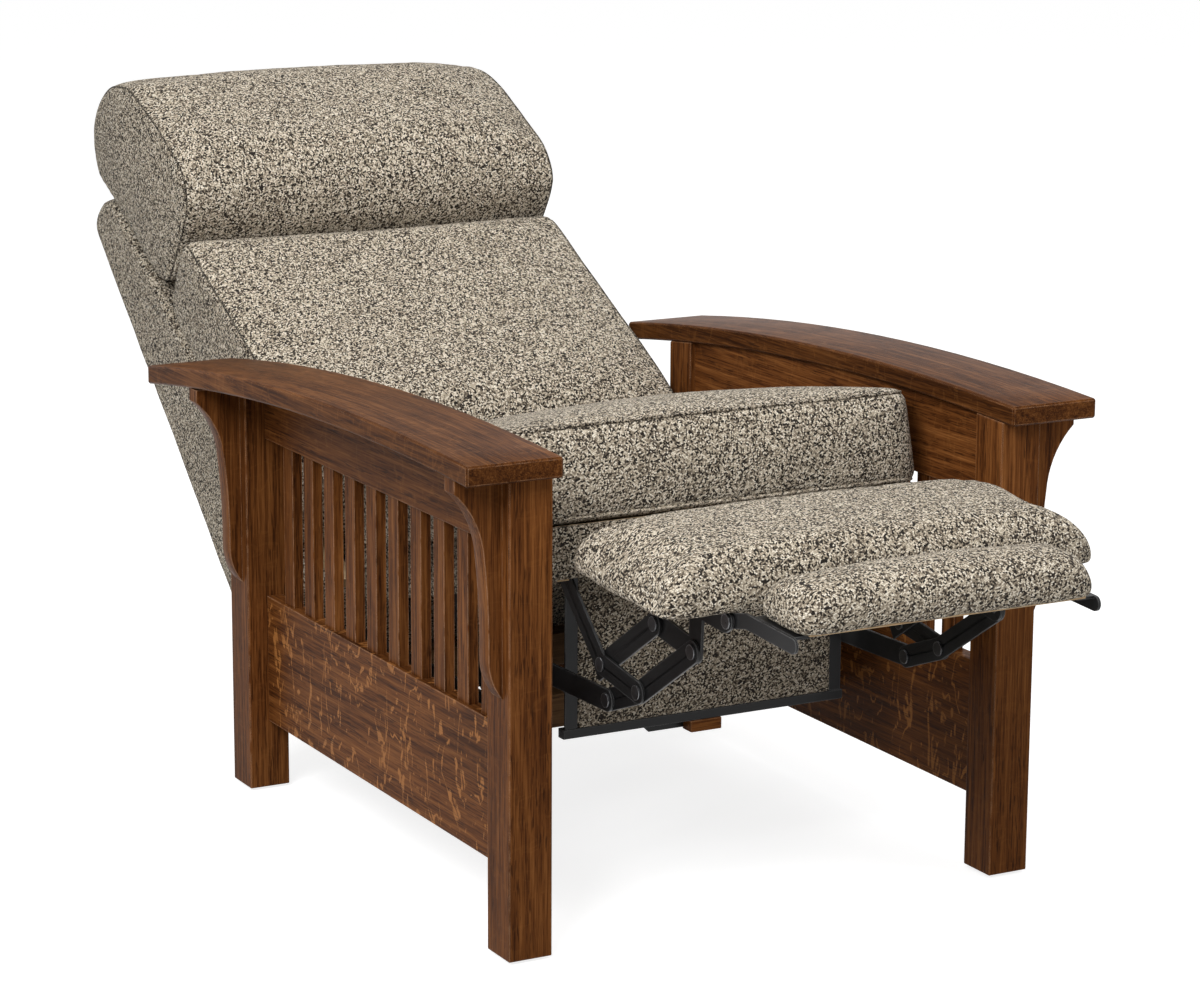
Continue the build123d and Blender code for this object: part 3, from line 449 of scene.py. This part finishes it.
# Soft forms
def addPiece(name, bm, material, smooth=True):
    bmesh.ops.recalc_face_normals(bm, faces=bm.faces)
    mesh = bpy.data.meshes.new(name)
    bm.to_mesh(mesh)
    bm.free()
    mesh.materials.append(material)
    piece = bpy.data.objects.new(name, mesh)
    scene.collection.objects.link(piece)
    if smooth:
        for polygon in mesh.polygons:
            polygon.use_smooth = True
    return piece


def roundEdges(bm, edges, width, segments):
    bmesh.ops.bevel(bm, geom=list(edges), offset=width * mm, offset_type="OFFSET", segments=segments,
                    profile=0.5, affect="EDGES", material=-1)


def drawnIn(section, share=0.9):
    middle = [sum(point[axis] for point in section) / len(section) for axis in (0, 1)]
    return [tuple(m + (p - m) * share for p, m in zip(point, middle)) for point in section]


def sweepSection(place, stations, sectionAt):
    # One side view of a cushion, extruded from station to station and reshaped at each.
    # A smaller ring inside each end keeps the end from being pulled towards its middle.
    rings = [(x, sectionAt(x)) for x in stations]
    rings = [(rings[0][0], drawnIn(rings[0][1]))] + rings + [(rings[-1][0], drawnIn(rings[-1][1]))]
    bm = bmesh.new()
    points = [place(rings[0][0], u, v) for u, v in rings[0][1]]
    face = bm.faces.new([bm.verts.new(point) for point in points])
    for x, section in rings[1:]:
        grown = bmesh.ops.extrude_face_region(bm, geom=[face])["geom"]
        corners = [item for item in grown if isinstance(item, bmesh.types.BMVert)]
        face = [item for item in grown if isinstance(item, bmesh.types.BMFace)][0]
        ordered = [min(corners, key=lambda corner: (corner.co - point).length) for point in points]
        points = [place(x, u, v) for u, v in section]
        for corner, point in zip(ordered, points):
            corner.co = point
    return bm


def settle(piece):
    # Take the modifiers' result as the piece's own mesh
    bpy.context.view_layer.update()
    graph = bpy.context.evaluated_depsgraph_get()
    mesh = bpy.data.meshes.new_from_object(piece.evaluated_get(graph))
    piece.modifiers.clear()
    piece.data = mesh
    for polygon in mesh.polygons:
        polygon.use_smooth = True


def remesh(piece, voxel, rounds=2):
    soften = piece.modifiers.new("soften", "SUBSURF")
    soften.levels = soften.render_levels = rounds
    grid = piece.modifiers.new("grid", "REMESH")
    grid.mode = "VOXEL"
    grid.voxel_size = voxel * mm
    settle(piece)


def seamTree(paths, gap=3.0):
    points = []
    for path in paths:
        for a, b in zip(path, path[1:]):
            steps = max(1, int((b - a).length / (gap * mm)))
            points += [a.lerp(b, step / steps) for step in range(steps)]
        points.append(path[-1])
    tree = KDTree(len(points))
    for number, point in enumerate(points):
        tree.insert(point, number)
    tree.balance()
    return tree


# How far a seam holds the cloth still, and where that starts to fade, in millimetres
seamHold = {"reach": 9.0, "fade": 5.0}
simFrames = 20


def inflate(piece, look, paths, rests):
    # Cloth under air pressure: seams and the faces that rest on something stay put
    tree = seamTree(paths)
    group = piece.vertex_groups.new(name="seams")
    for vertex in piece.data.vertices:
        near = tree.find(vertex.co)[2] / mm
        weight = clamped((seamHold["reach"] - near) / seamHold["fade"])
        if rests(vertex.co):
            weight = 1.0
        if weight > 0:
            group.add([vertex.index], weight, "REPLACE")
    start = [vertex.co.copy() for vertex in piece.data.vertices]
    cloth = piece.modifiers.new("cloth", "CLOTH")
    settings = cloth.settings
    settings.quality = 4
    settings.use_pressure = True
    settings.uniform_pressure_force = look["pressure"]
    settings.effector_weights.gravity = 0
    settings.vertex_group_mass = "seams"
    settings.tension_stiffness = settings.compression_stiffness = look["stiffness"]
    settings.bending_stiffness = 0.3
    cloth.collision_settings.use_collision = False
    for number in range(1, simFrames + 1):
        scene.frame_set(number)
    graph = bpy.context.evaluated_depsgraph_get()
    moved = [vertex.co.copy() for vertex in piece.evaluated_get(graph).data.vertices]
    piece.modifiers.clear()
    piece.vertex_groups.clear()
    cap = look["cap"] * mm
    reach = 0.0
    for vertex, before, after in zip(piece.data.vertices, start, moved):
        step = after - before
        reach = max(reach, step.length)
        if step.length > cap:
            step = step * (cap / step.length)
        vertex.co = before + step
    scene.frame_set(1)
    print("  inflated", piece.name, len(start), "points, reach", round(reach / mm, 1), "mm")


def restsWithin(place, base, height):
    # True for points no higher than this above the plane that a cushion rests on
    start = place(0, 0, base)
    up = (place(0, 0, 1) - place(0, 0, 0)).normalized()
    return lambda point: (point - start).dot(up) < height


def sink(piece, paths, depth, width):
    # Pull the cloth in along its seams
    tree = seamTree(paths)
    mesh = piece.data
    normals = [vertex.normal.copy() for vertex in mesh.vertices]
    for vertex, normal in zip(mesh.vertices, normals):
        near = tree.find(vertex.co)[2] / mm
        if near < 3 * width:
            vertex.co -= normal * (depth * mm * math.exp(-(near / width) ** 2))


def rumple(piece, height, size, seed=0.0):
    # Slow unevenness of stuffing under cloth
    mesh = piece.data
    normals = [vertex.normal.copy() for vertex in mesh.vertices]
    for vertex, normal in zip(mesh.vertices, normals):
        spot = vertex.co / (size * mm) + Vector((seed, seed * 2, -seed))
        vertex.co += normal * (noise.fractal(spot, 0.9, 2.0, 3) * height * mm)


def finishCushion(piece, look):
    smooth = piece.modifiers.new("smooth", "SMOOTH")
    smooth.factor = 0.5
    smooth.iterations = look.get("smoothing", 3)
    fine = piece.modifiers.new("fine", "SUBSURF")
    fine.levels = fine.render_levels = 1
    settle(piece)


def tubeAlong(name, path, radius, material):
    # A thin round roll of cloth on a smooth line
    curve = bpy.data.curves.new(name, "CURVE")
    curve.dimensions = "3D"
    curve.bevel_depth = radius * mm
    curve.bevel_resolution = 2
    curve.use_fill_caps = True
    spline = curve.splines.new("NURBS")
    spline.points.add(len(path) - 1)
    for point, place in zip(spline.points, path):
        point.co = (*place, 1)
    spline.order_u = 3
    spline.use_endpoint_u = True
    spline.resolution_u = 2
    holder = bpy.data.objects.new(name, curve)
    scene.collection.objects.link(holder)
    bpy.context.view_layer.update()
    mesh = bpy.data.meshes.new_from_object(holder.evaluated_get(bpy.context.evaluated_depsgraph_get()))
    bpy.data.objects.remove(holder)
    mesh.materials.clear()
    mesh.materials.append(material)
    for polygon in mesh.polygons:
        polygon.use_smooth = True
    piece = bpy.data.objects.new(name, mesh)
    scene.collection.objects.link(piece)
    return piece


def onSurface(piece, path, lift):
    # The same line, laid on the finished cloth
    bm = bmesh.new()
    bm.from_mesh(piece.data)
    surface = BVHTree.FromBMesh(bm)
    bm.free()
    laid = []
    for point in path:
        place, normal, _, _ = surface.find_nearest(point)
        laid.append(place + normal * lift * mm)
    for _ in range(2):
        laid = [laid[0]] + [
            (a + b * 2 + c) / 4 for a, b, c in zip(laid, laid[1:], laid[2:])
        ] + [laid[-1]]
    return laid


def finePath(place, corners, gap=9.0):
    # A design line through corner points (x, u, v), with points every few millimetres
    points = [place(*corner) for corner in corners]
    path = []
    for a, b in zip(points, points[1:]):
        steps = max(1, round((b - a).length / (gap * mm)))
        path += [a.lerp(b, step / steps) for step in range(steps)]
    return path + [points[-1]]


def clamped(value):
    return max(0.0, min(1.0, value))


def roundEnd(x, half, radius):
    # 0 over the middle, rising to 1 at the end of a rounded corner
    share = clamped((abs(x) - (half - radius)) / radius)
    return 1 - math.sqrt(1 - share * share)


# Stations further out than this share of the half width are pressed in, as a cushion's end is
pressedEnd = 0.985


def mirroredStations(values):
    return [-value for value in reversed(values)] + list(values)


# Seat cushion: boxed, crowned, with a self welt round its top edge and another below
seatLook = {
    "half": 294, "front": 3, "rear": 500, "thick": 121, "crown": 26, "bulge": 9, "frontCorner": 40,
    "rearCorner": 24, "voxel": 7.0, "pressure": 4.0, "stiffness": 12.0, "cap": 11.0, "welt": 2.3,
    "stations": (20, 90, 160, 215, 250, 270, 284, 291, 294),
}


def seatSection(x):
    look = seatLook
    share = abs(x) / look["half"]
    full = 1 - share ** 3.2
    end = 1 if abs(x) < look["half"] - 1 else 0.97
    front = look["front"] + look["frontCorner"] * roundEnd(x, look["half"], look["frontCorner"])
    rear = look["rear"] - look["rearCorner"] * roundEnd(x, look["half"], look["rearCorner"])
    top = look["thick"]
    rise = look["crown"] * (0.12 + 0.88 * full)
    bulge = look["bulge"] * (0.4 + 0.6 * full)
    length = rear - front
    points = [
        (front + 6, 1), (front + 0.3 * length, 0), (front + 0.7 * length, 0), (rear - 6, 2),
        (rear + bulge * 0.7, top * 0.3), (rear + bulge * 0.7, top * 0.7), (rear - 4, top + 2),
        (rear - 0.1 * length, top + rise * 0.55), (rear - 0.3 * length, top + rise * 0.92),
        (rear - 0.5 * length, top + rise), (rear - 0.7 * length, top + rise * 0.92),
        (front + 0.13 * length, top + rise * 0.7), (front + 0.05 * length, top + rise * 0.38),
        (front + 3, top + 3), (front - bulge * 0.85, top * 0.78), (front - bulge, top * 0.5),
        (front - bulge * 0.85, top * 0.22), (front + 1, 4),
    ]
    middle = (front + length / 2, top / 2)
    return [(middle[0] + (u - middle[0]) * end, middle[1] + (v - middle[1]) * end) for u, v in points]


def seatSeam(height, inset=0.0):
    look = seatLook
    half = look["half"] - inset
    radius = look["frontCorner"]
    corners = [(-half, look["rear"] - look["rearCorner"], height)]
    corners += [(-half, look["front"] + 200, height)]
    for number in range(7):
        angle = math.pi / 2 * number / 6
        corners.append((-half + radius * (1 - math.cos(angle)),
                        look["front"] + radius * (1 - math.sin(angle)), height))
    rest = [(-x, u, v) for x, u, v in reversed(corners)]
    return finePath(seatPlace, corners + rest)


def makeSeatCushion():
    look = seatLook
    piece = addPiece("seatCushion",
                     sweepSection(seatPlace, mirroredStations(look["stations"]), seatSection), tweed)
    remesh(piece, look["voxel"])
    seams = [seatSeam(look["thick"] + 1), seatSeam(4)]
    inflate(piece, look, seams, restsWithin(seatPlace, 0, 0.004))
    finishCushion(piece, look)
    sink(piece, seams, 3.0, 7.0)
    rumple(piece, 1.0, 70, 3.0)
    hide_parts("seat_cushion")
    welts = []
    for number, (seam, material) in enumerate(zip(seams, (tweedShaded, tweedLight))):
        welts.append(tubeAlong("seatWelt" + ("Top", "Low")[number],
                               onSurface(piece, seam, 1.2), look["welt"], material))
    return piece, welts


def sideWelts(name, piece, seams, lift, radius):
    # Each welt is a thin tube in the dark seam cloth, drawing the seam's painted shadow line
    return [tubeAlong(name + label, onSurface(piece, seam, lift), radius, tweedSeamShadow)
            for label, seam in zip(("Left", "Right"), seams)]


def makeBackCushion(name, look, section, seamAt, node):
    piece = addPiece(name, sweepSection(backPlace, mirroredStations(look["stations"]), section), tweed)
    remesh(piece, look["voxel"])
    seams = [seamAt(-1), seamAt(1)]
    inflate(piece, look, seams, restsWithin(backPlace, 0, 0.006))
    finishCushion(piece, look)
    sink(piece, seams, 3.6, 5.0)
    rumple(piece, *look["rumple"])
    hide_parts(node)
    return piece, sideWelts(look["weltName"], piece, seams, 0.2, look["welt"])


# Lumbar cushion: deep and round low down, with a boxed side and a seam along each front edge
lumbarLook = {
    "half": 296, "voxel": 7.0, "pressure": 4.0, "stiffness": 12.0, "cap": 9.0, "welt": 1.5,
    "crown": 4, "rumple": (1.2, 90, 11.0), "weltName": "lumbarWelt",
    "front": ((550, 130), (528, 134), (498, 136), (421, 141), (315, 149), (250, 155), (180, 161),
              (120, 161), (75, 147), (42, 114)),
    "stations": (30, 110, 180, 230, 262, 282, 292, 296),
}


def lumbarSection(x):
    look = lumbarLook
    share = abs(x) / look["half"]
    drop = look["crown"] * share ** 2.5 + (5 if share > pressedEnd else 0)
    front = [(b, c - drop) for b, c in look["front"]]
    drawn = 4 if share > pressedEnd else 0
    return [(30 + drawn, 60), (34 + drawn, 14), (60, 2), (250, 2), (480, 2), (534 - drawn, 3),
            (552 - drawn, 26), (555 - drawn, 80), (555 - drawn, 118)] + front


def lumbarSeam(side):
    look = lumbarLook
    corners = [(side * (look["half"] - 1), b, c - look["crown"] - 1) for b, c in look["front"]]
    return finePath(backPlace, [(side * (look["half"] - 1), 552, 60)] + corners
                    + [(side * (look["half"] - 1), 32, 50)])


# Head pillow: rolls over the top of the back and hangs over the lumbar cushion
pillowLook = {
    "half": 296, "voxel": 7.0, "pressure": 4.0, "stiffness": 12.0, "cap": 9.0, "welt": 1.5,
    "crown": 5, "rumple": (1.4, 80, 23.0), "weltName": "pillowWelt",
    "outline": ((800, 3), (811, -2), (846, -5), (870, -5), (896, 8), (922, 37), (928, 74), (920, 112),
                (899, 143), (887, 153), (842, 184), (794, 196), (719, 207), (650, 212), (606, 213),
                (577, 197), (562, 180), (558, 158), (560, 125), (560, 60), (566, 8)),
    "stations": (30, 110, 180, 230, 262, 282, 292, 296),
}


def pillowSection(x):
    look = pillowLook
    share = abs(x) / look["half"]
    grow = -look["crown"] * share ** 2.5 - (6 if share > pressedEnd else 0)
    points = []
    for b, c in look["outline"]:
        out = clamped((c - 20) / 60)
        high = clamped((b - 780) / 90)
        points.append((b + grow * high, c + grow * out * (1 - 0.4 * high)))
    return points


def pillowSeam(side):
    look = pillowLook
    line = [point for point in look["outline"] if point[1] > 5 and point[0] > 559]
    line = [point for point in line if point[0] != 560]
    corners = []
    for b, c in line:
        high = clamped((b - 780) / 90)
        corners.append((side * (look["half"] - 1), b - look["crown"] * high,
                        c - look["crown"] * (1 - 0.4 * high)))
    return finePath(backPlace, corners)


# Outer back: a padded shell, flat in front, rounded over its top edge
shellLook = {
    "half": 298, "voxel": 9.0, "welt": 1.9, "smoothing": 2,
    "outline": ((-24, -3), (120, -3), (400, -3), (700, -3), (790, -3), (812, -9), (829, -30), (838, -62),
                (839, -84), (830, -92), (800, -97), (560, -139), (300, -185), (100, -220), (0, -236),
                (-20, -239), (-26, -225), (-26, -120), (-26, -20)),
    "stations": (60, 160, 240, 275, 290, 296, 298),
}


def shellSection(x):
    look = shellLook
    share = abs(x) / look["half"]
    draw = 10 * roundEnd(x, look["half"], 16)
    points = []
    for b, c in look["outline"]:
        deep = clamped((-c - 20) / 60)
        high = clamped((b - 700) / 100)
        puff = 4 * (1 - share ** 4) * deep
        points.append((b - draw * high, c + draw * deep - puff))
    return points


def shellSeam(side):
    look = shellLook
    x = side * (look["half"] - 4)
    return finePath(backPlace, [(x, b, c + 2) for b, c in look["outline"][9:16]])


# Room beside the hinges for the ends of the seat plates, which turn inside the shell
pocketLook = {"inner": 211, "outer": 227, "low": -45, "high": 70, "deep": -45, "front": 12, "edge": 1.5}


def cutPockets(piece):
    look = pocketLook
    for side in (-1, 1):
        near, far = sorted((side * look["inner"], side * look["outer"]))
        cutter = makeSlab("pocketCutter", backPlace, (near, look["low"], look["deep"]),
                          (far, look["high"], look["front"]), look["edge"], tweed)
        cut = piece.modifiers.new("pocket", "BOOLEAN")
        cut.operation = "DIFFERENCE"
        cut.solver = "EXACT"
        cut.object = cutter
        settle(piece)
        bpy.data.objects.remove(cutter)


def makeShell():
    look = shellLook
    piece = addPiece("outerBack",
                     sweepSection(backPlace, mirroredStations(look["stations"]), shellSection), tweed)
    remesh(piece, look["voxel"])
    finishCushion(piece, look)
    seams = [shellSeam(-1), shellSeam(1)]
    sink(piece, seams, 2.0, 7.0)
    rumple(piece, 0.9, 120, 31.0)
    cutPockets(piece)
    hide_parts("back_shell")
    return piece, sideWelts("backWelt", piece, seams, 0.4, look["welt"])


# Footrest pads: crowned, with cloth drawn round soft ends and under their boards
mainPadLook = {
    "half": 293, "rear": 3, "front": 246, "low": -13, "high": 44, "crown": 11, "end": 34, "voxel": 5.0,
    "pressure": 4.0, "stiffness": 12.0, "cap": 7.0, "smoothing": 4,
    "stations": (20, 90, 160, 210, 245, 266, 280, 289, 293),
}
flipperPadLook = {
    "half": 196, "rear": 267, "front": 375, "low": -4.5, "high": 43, "crown": 9, "end": 26, "voxel": 4.5,
    "pressure": 4.0, "stiffness": 12.0, "cap": 6.0, "smoothing": 4,
    "stations": (20, 80, 125, 155, 172, 185, 193, 196),
}


# Where the cloth is stapled under a pad, in from its sides and ends
padRim = {"side": 8, "end": 14}


def padSection(look):
    def section(x):
        bend = roundEnd(x, look["half"], look["end"])
        share = abs(x) / look["half"]
        thick = look["high"] - look["low"]
        high = look["high"] - bend * thick * 0.6 + look["crown"] * (1 - share ** 3)
        rear = look["rear"] + bend * 16
        front = look["front"] - bend * 16
        low = look["low"] + bend * 2
        length = front - rear
        lift = high - low
        return [
            (rear + 9, low), (rear + 0.4 * length, low - 0.5), (front - 5, low),
            (front - 2, low + 0.12 * lift), (front, low + 0.42 * lift), (front - 5, low + 0.76 * lift),
            (front - 22, low + 0.95 * lift), (front - 0.3 * length, low + lift),
            (rear + 0.5 * length, low + 1.02 * lift), (rear + 0.3 * length, low + lift),
            (rear + 22, low + 0.94 * lift), (rear + 5, low + 0.74 * lift), (rear, low + 0.4 * lift),
            (rear + 2, low + 0.12 * lift),
        ]
    return section


def makePad(name, look, node, seed):
    piece = addPiece(name,
                     sweepSection(padPlace, mirroredStations(look["stations"]), padSection(look)), tweed)
    remesh(piece, look["voxel"])
    side = look["half"] - padRim["side"]
    rear, front = look["rear"] + padRim["end"], look["front"] - padRim["end"]
    rim = [finePath(padPlace, [(x, along, look["low"]) for x, along in
                               ((-side, rear), (side, rear), (side, front), (-side, front))])]
    inflate(piece, look, rim, restsWithin(padPlace, look["low"], 0.004))
    finishCushion(piece, look)
    rumple(piece, 1.3, 60, seed)
    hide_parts(node)
    return piece


# Kick panel: a board with tweed drawn over it
kickLook = {"half": 182, "front": -235, "rear": -217, "low": 219, "edge": 4.0}


def makeKickPanel():
    look = kickLook
    bm = bmesh.new()
    tops = ((look["front"], 455.9), (look["rear"], 451.0))  # under the sloping ledge
    bmesh.ops.create_cube(bm, size=1.0)
    for vertex in bm.verts:
        x = look["half"] if vertex.co.x > 0 else -look["half"]
        number = 0 if vertex.co.y < 0 else 1
        z = look["low"] if vertex.co.z < 0 else tops[number][1]
        vertex.co = Vector((x, tops[number][0], z)) * mm
    roundEdges(bm, bm.edges, look["edge"], 3)
    piece = addPiece("kickPanel", bm, tweedShaded)
    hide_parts("kick_panel")
    return piece


def makeSlab(name, place, low, high, edge, material):
    # A cloth-wrapped strip between two opposite corners (x, along, up)
    bm = bmesh.new()
    bmesh.ops.create_cube(bm, size=1.0)
    for vertex in bm.verts:
        values = [high[axis] if vertex.co[axis] > 0 else low[axis] for axis in range(3)]
        vertex.co = place(*values)
    roundEdges(bm, bm.edges, edge, 3)
    return addPiece(name, bm, material)


# Deck cloth over the springs, and the cloth that closes the gap between seat and back
deckLook = {"half": 213, "front": 36, "rear": 590, "up": -3.0}
gapLook = {
    "half": 205,
    "line": ((205.0, 356.0), (240.0, 346.5), (272.0, 341.5), (300.0, 336.5), (322.0, 333.5),
             (342.0, 336.0), (358.0, 343.0)),
}


def makeDeck():
    look = deckLook
    bm = bmesh.new()
    bmesh.ops.create_grid(bm, x_segments=24, y_segments=24, size=1.0)
    for vertex in bm.verts:
        along = look["front"] + (look["rear"] - look["front"]) * (vertex.co.y + 1) / 2
        dip = 2.5 * (1 - vertex.co.x ** 2) * (1 - vertex.co.y ** 2)
        vertex.co = seatPlace(vertex.co.x * look["half"], along, look["up"] - dip)
    piece = addPiece("seatDeckCloth", bm, deckCloth)
    return piece


def makeGapCloth():
    look = gapLook
    bm = bmesh.new()
    row = [bm.verts.new(Vector((-look["half"], y, z)) * mm) for y, z in look["line"]]
    grown = [bm.edges.new(ends) for ends in zip(row, row[1:])]
    steps = 16
    width = 2 * look["half"] * mm / steps
    for _ in range(steps):
        grown = bmesh.ops.extrude_edge_only(bm, edges=grown)["geom"]
        corners = [item for item in grown if isinstance(item, bmesh.types.BMVert)]
        bmesh.ops.translate(bm, vec=(width, 0, 0), verts=corners)
        grown = [item for item in grown if isinstance(item, bmesh.types.BMEdge)]
    piece = addPiece("gapCloth", bm, deckCloth)
    length = sum(math.dist(a, b) for a, b in zip(look["line"], look["line"][1:]))
    return piece


# Hex screws through the feet of the base rails
screwLook = {"x": 241.0, "rows": (40.0, 310.0), "top": 188.5, "radius": 6.5, "height": 3.6, "edge": 0.5}


def makeBaseScrews():
    look = screwLook
    bm = bmesh.new()
    for side in (-1, 1):
        for y in look["rows"]:
            place = Matrix.Translation(Vector((side * look["x"], y, look["top"] + look["height"] / 2)) * mm)
            bmesh.ops.create_cone(bm, cap_ends=True, segments=6, radius1=look["radius"] * mm,
                                  radius2=look["radius"] * 0.94 * mm, depth=look["height"] * mm, matrix=place)
    rims = [edge for edge in bm.edges if abs(edge.verts[0].co.z - edge.verts[1].co.z) < 1e-6]
    roundEdges(bm, rims, look["edge"], 2)
    return addPiece("baseScrews", bm, rivetSteel, smooth=False)


seatCushion, seatWelts = makeSeatCushion()
lumbarCushion, lumbarWelts = makeBackCushion("lumbarCushion", lumbarLook, lumbarSection, lumbarSeam,
                                             "lower_back_cushion")
headPillow, pillowWelts = makeBackCushion("headPillow", pillowLook, pillowSection, pillowSeam,
                                          "head_pillow")
outerBack, backWelts = makeShell()
footrestPad = makePad("footrestPad", mainPadLook, "footrest_pad", 41.0)
flipperPad = makePad("flipperPad", flipperPadLook, "flipper_pad", 57.0)
kickPanel = makeKickPanel()
print("cushions made")

frontRailCover = makeSlab("frontRailCover", seatPlace, (-268, 5.5, -64), (268, 19.6, -0.5), 3.0, tweedShaded)
sideCovers = [
    makeSlab("sideCoverLeft", seatPlace, (-246.5, 8, -69), (-242.1, 602, -0.5), 1.6, tweedShaded),
    makeSlab("sideCoverRight", seatPlace, (242.1, 8, -69), (246.5, 602, -0.5), 1.6, tweedShaded),
]
deck = makeDeck()
baseScrews = makeBaseScrews()
gapCloth = makeGapCloth()
print("covers made")

# What each piece moves with
for piece in [seatCushion, *seatWelts, kickPanel, frontRailCover, *sideCovers, deck]:
    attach(piece, "seat")
for piece in [lumbarCushion, *lumbarWelts, headPillow, *pillowWelts, outerBack, *backWelts]:
    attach(piece, "back")
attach(baseScrews, "frame")
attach(footrestPad, "footrest")
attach(flipperPad, "flipper")
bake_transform(gapCloth)


# Floor, light and camera
stageLook = {"floor": 60.0, "floorColor": (0.5, 0.5, 0.5, 1), "glow": 0.82, "world": 0.34}


# 1 for rays that come straight from the camera, or by way of gloss or glass
def seenDirectly(tree):
    path = addNode(tree, "ShaderNodeLightPath")
    seen = mathNode(tree, "ADD", path.outputs["Is Camera Ray"], path.outputs["Is Glossy Ray"], clamp=True)
    seen = mathNode(tree, "ADD", seen, path.outputs["Is Transmission Ray"], clamp=True)
    return seen


def makeFloor():
    bm = bmesh.new()
    bmesh.ops.create_grid(bm, x_segments=1, y_segments=1, size=stageLook["floor"])
    material = bpy.data.materials.new("paleFloor")
    material.use_nodes = True
    tree = material.node_tree
    tree.nodes.remove(tree.nodes["Principled BSDF"])
    plain = addNode(tree, "ShaderNodeBsdfDiffuse", {"Color": stageLook["floorColor"]})
    glow = addNode(tree, "ShaderNodeEmission", {"Color": (1, 1, 1, 1), "Strength": stageLook["glow"]})
    both = addNode(tree, "ShaderNodeAddShader", {0: plain.outputs[0], 1: glow.outputs[0]})
    mixed = addNode(tree, "ShaderNodeMixShader",
                    {0: seenDirectly(tree), 1: plain.outputs[0], 2: both.outputs[0]})
    tree.links.new(mixed.outputs[0], tree.nodes["Material Output"].inputs["Surface"])
    floor = addPiece("floor", bm, material, smooth=False)


def makeWorld():
    world = bpy.data.worlds.new("studio")
    scene.world = world
    world.use_nodes = True
    tree = world.node_tree
    light = tree.nodes["Background"]
    light.inputs["Color"].default_value = (1, 1, 1, 1)
    light.inputs["Strength"].default_value = stageLook["world"]
    white = addNode(tree, "ShaderNodeBackground", {"Color": (1, 1, 1, 1), "Strength": 1.0})
    mixed = addNode(tree, "ShaderNodeMixShader",
                    {0: seenDirectly(tree), 1: light.outputs[0], 2: white.outputs[0]})
    tree.links.new(mixed.outputs[0], tree.nodes["World Output"].inputs["Surface"])


lamps = {
    "keyLamp": {"place": (-3.0, -2.3, 3.3), "power": 165.0, "size": 2.0},
    "fillLamp": {"place": (3.0, -2.8, 2.0), "power": 28.0, "size": 2.4},
    "topLamp": {"place": (0.3, 0.2, 4.0), "power": 70.0, "size": 2.4},
}


def makeLamp(name, look):
    data = bpy.data.lights.new(name, "AREA")
    data.energy = look["power"]
    data.size = look["size"]
    lamp = bpy.data.objects.new(name, data)
    place = Vector(look["place"])
    aim = Vector((0.0, 0.0, 0.5)) - place
    lamp.matrix_world = Matrix.Translation(place) @ aim.to_track_quat("-Z", "Y").to_matrix().to_4x4()
    scene.collection.objects.link(lamp)


cameraLook = {
    "place": (-2.2086, -4.0059, 1.4904), "yaw": 28.586, "pitch": 12.924, "roll": 0.304,
    "focalPixels": 3623.0, "pictureWidth": 1200, "sensor": 36.0,
}


def makeCamera():
    look = cameraLook
    data = bpy.data.cameras.new("photoCamera")
    data.sensor_width = look["sensor"]
    data.lens = look["focalPixels"] / look["pictureWidth"] * look["sensor"]
    data.clip_end = 200.0
    yaw, pitch, roll = (math.radians(look[key]) for key in ("yaw", "pitch", "roll"))
    ahead = Vector((math.sin(yaw) * math.cos(pitch), math.cos(yaw) * math.cos(pitch), -math.sin(pitch)))
    level = Vector((math.cos(yaw), -math.sin(yaw), 0.0))
    above = level.cross(ahead)
    right = level * math.cos(roll) + above * math.sin(roll)
    up = above * math.cos(roll) - level * math.sin(roll)
    turn = Matrix((right, up, -ahead)).transposed().to_4x4()
    camera = bpy.data.objects.new("photoCamera", data)
    camera.matrix_world = Matrix.Translation(look["place"]) @ turn
    scene.collection.objects.link(camera)
    scene.camera = camera


makeFloor()
makeWorld()
for name, look in lamps.items():
    makeLamp(name, look)
makeCamera()
scene.view_settings.view_transform = "Standard"
print("stage set")
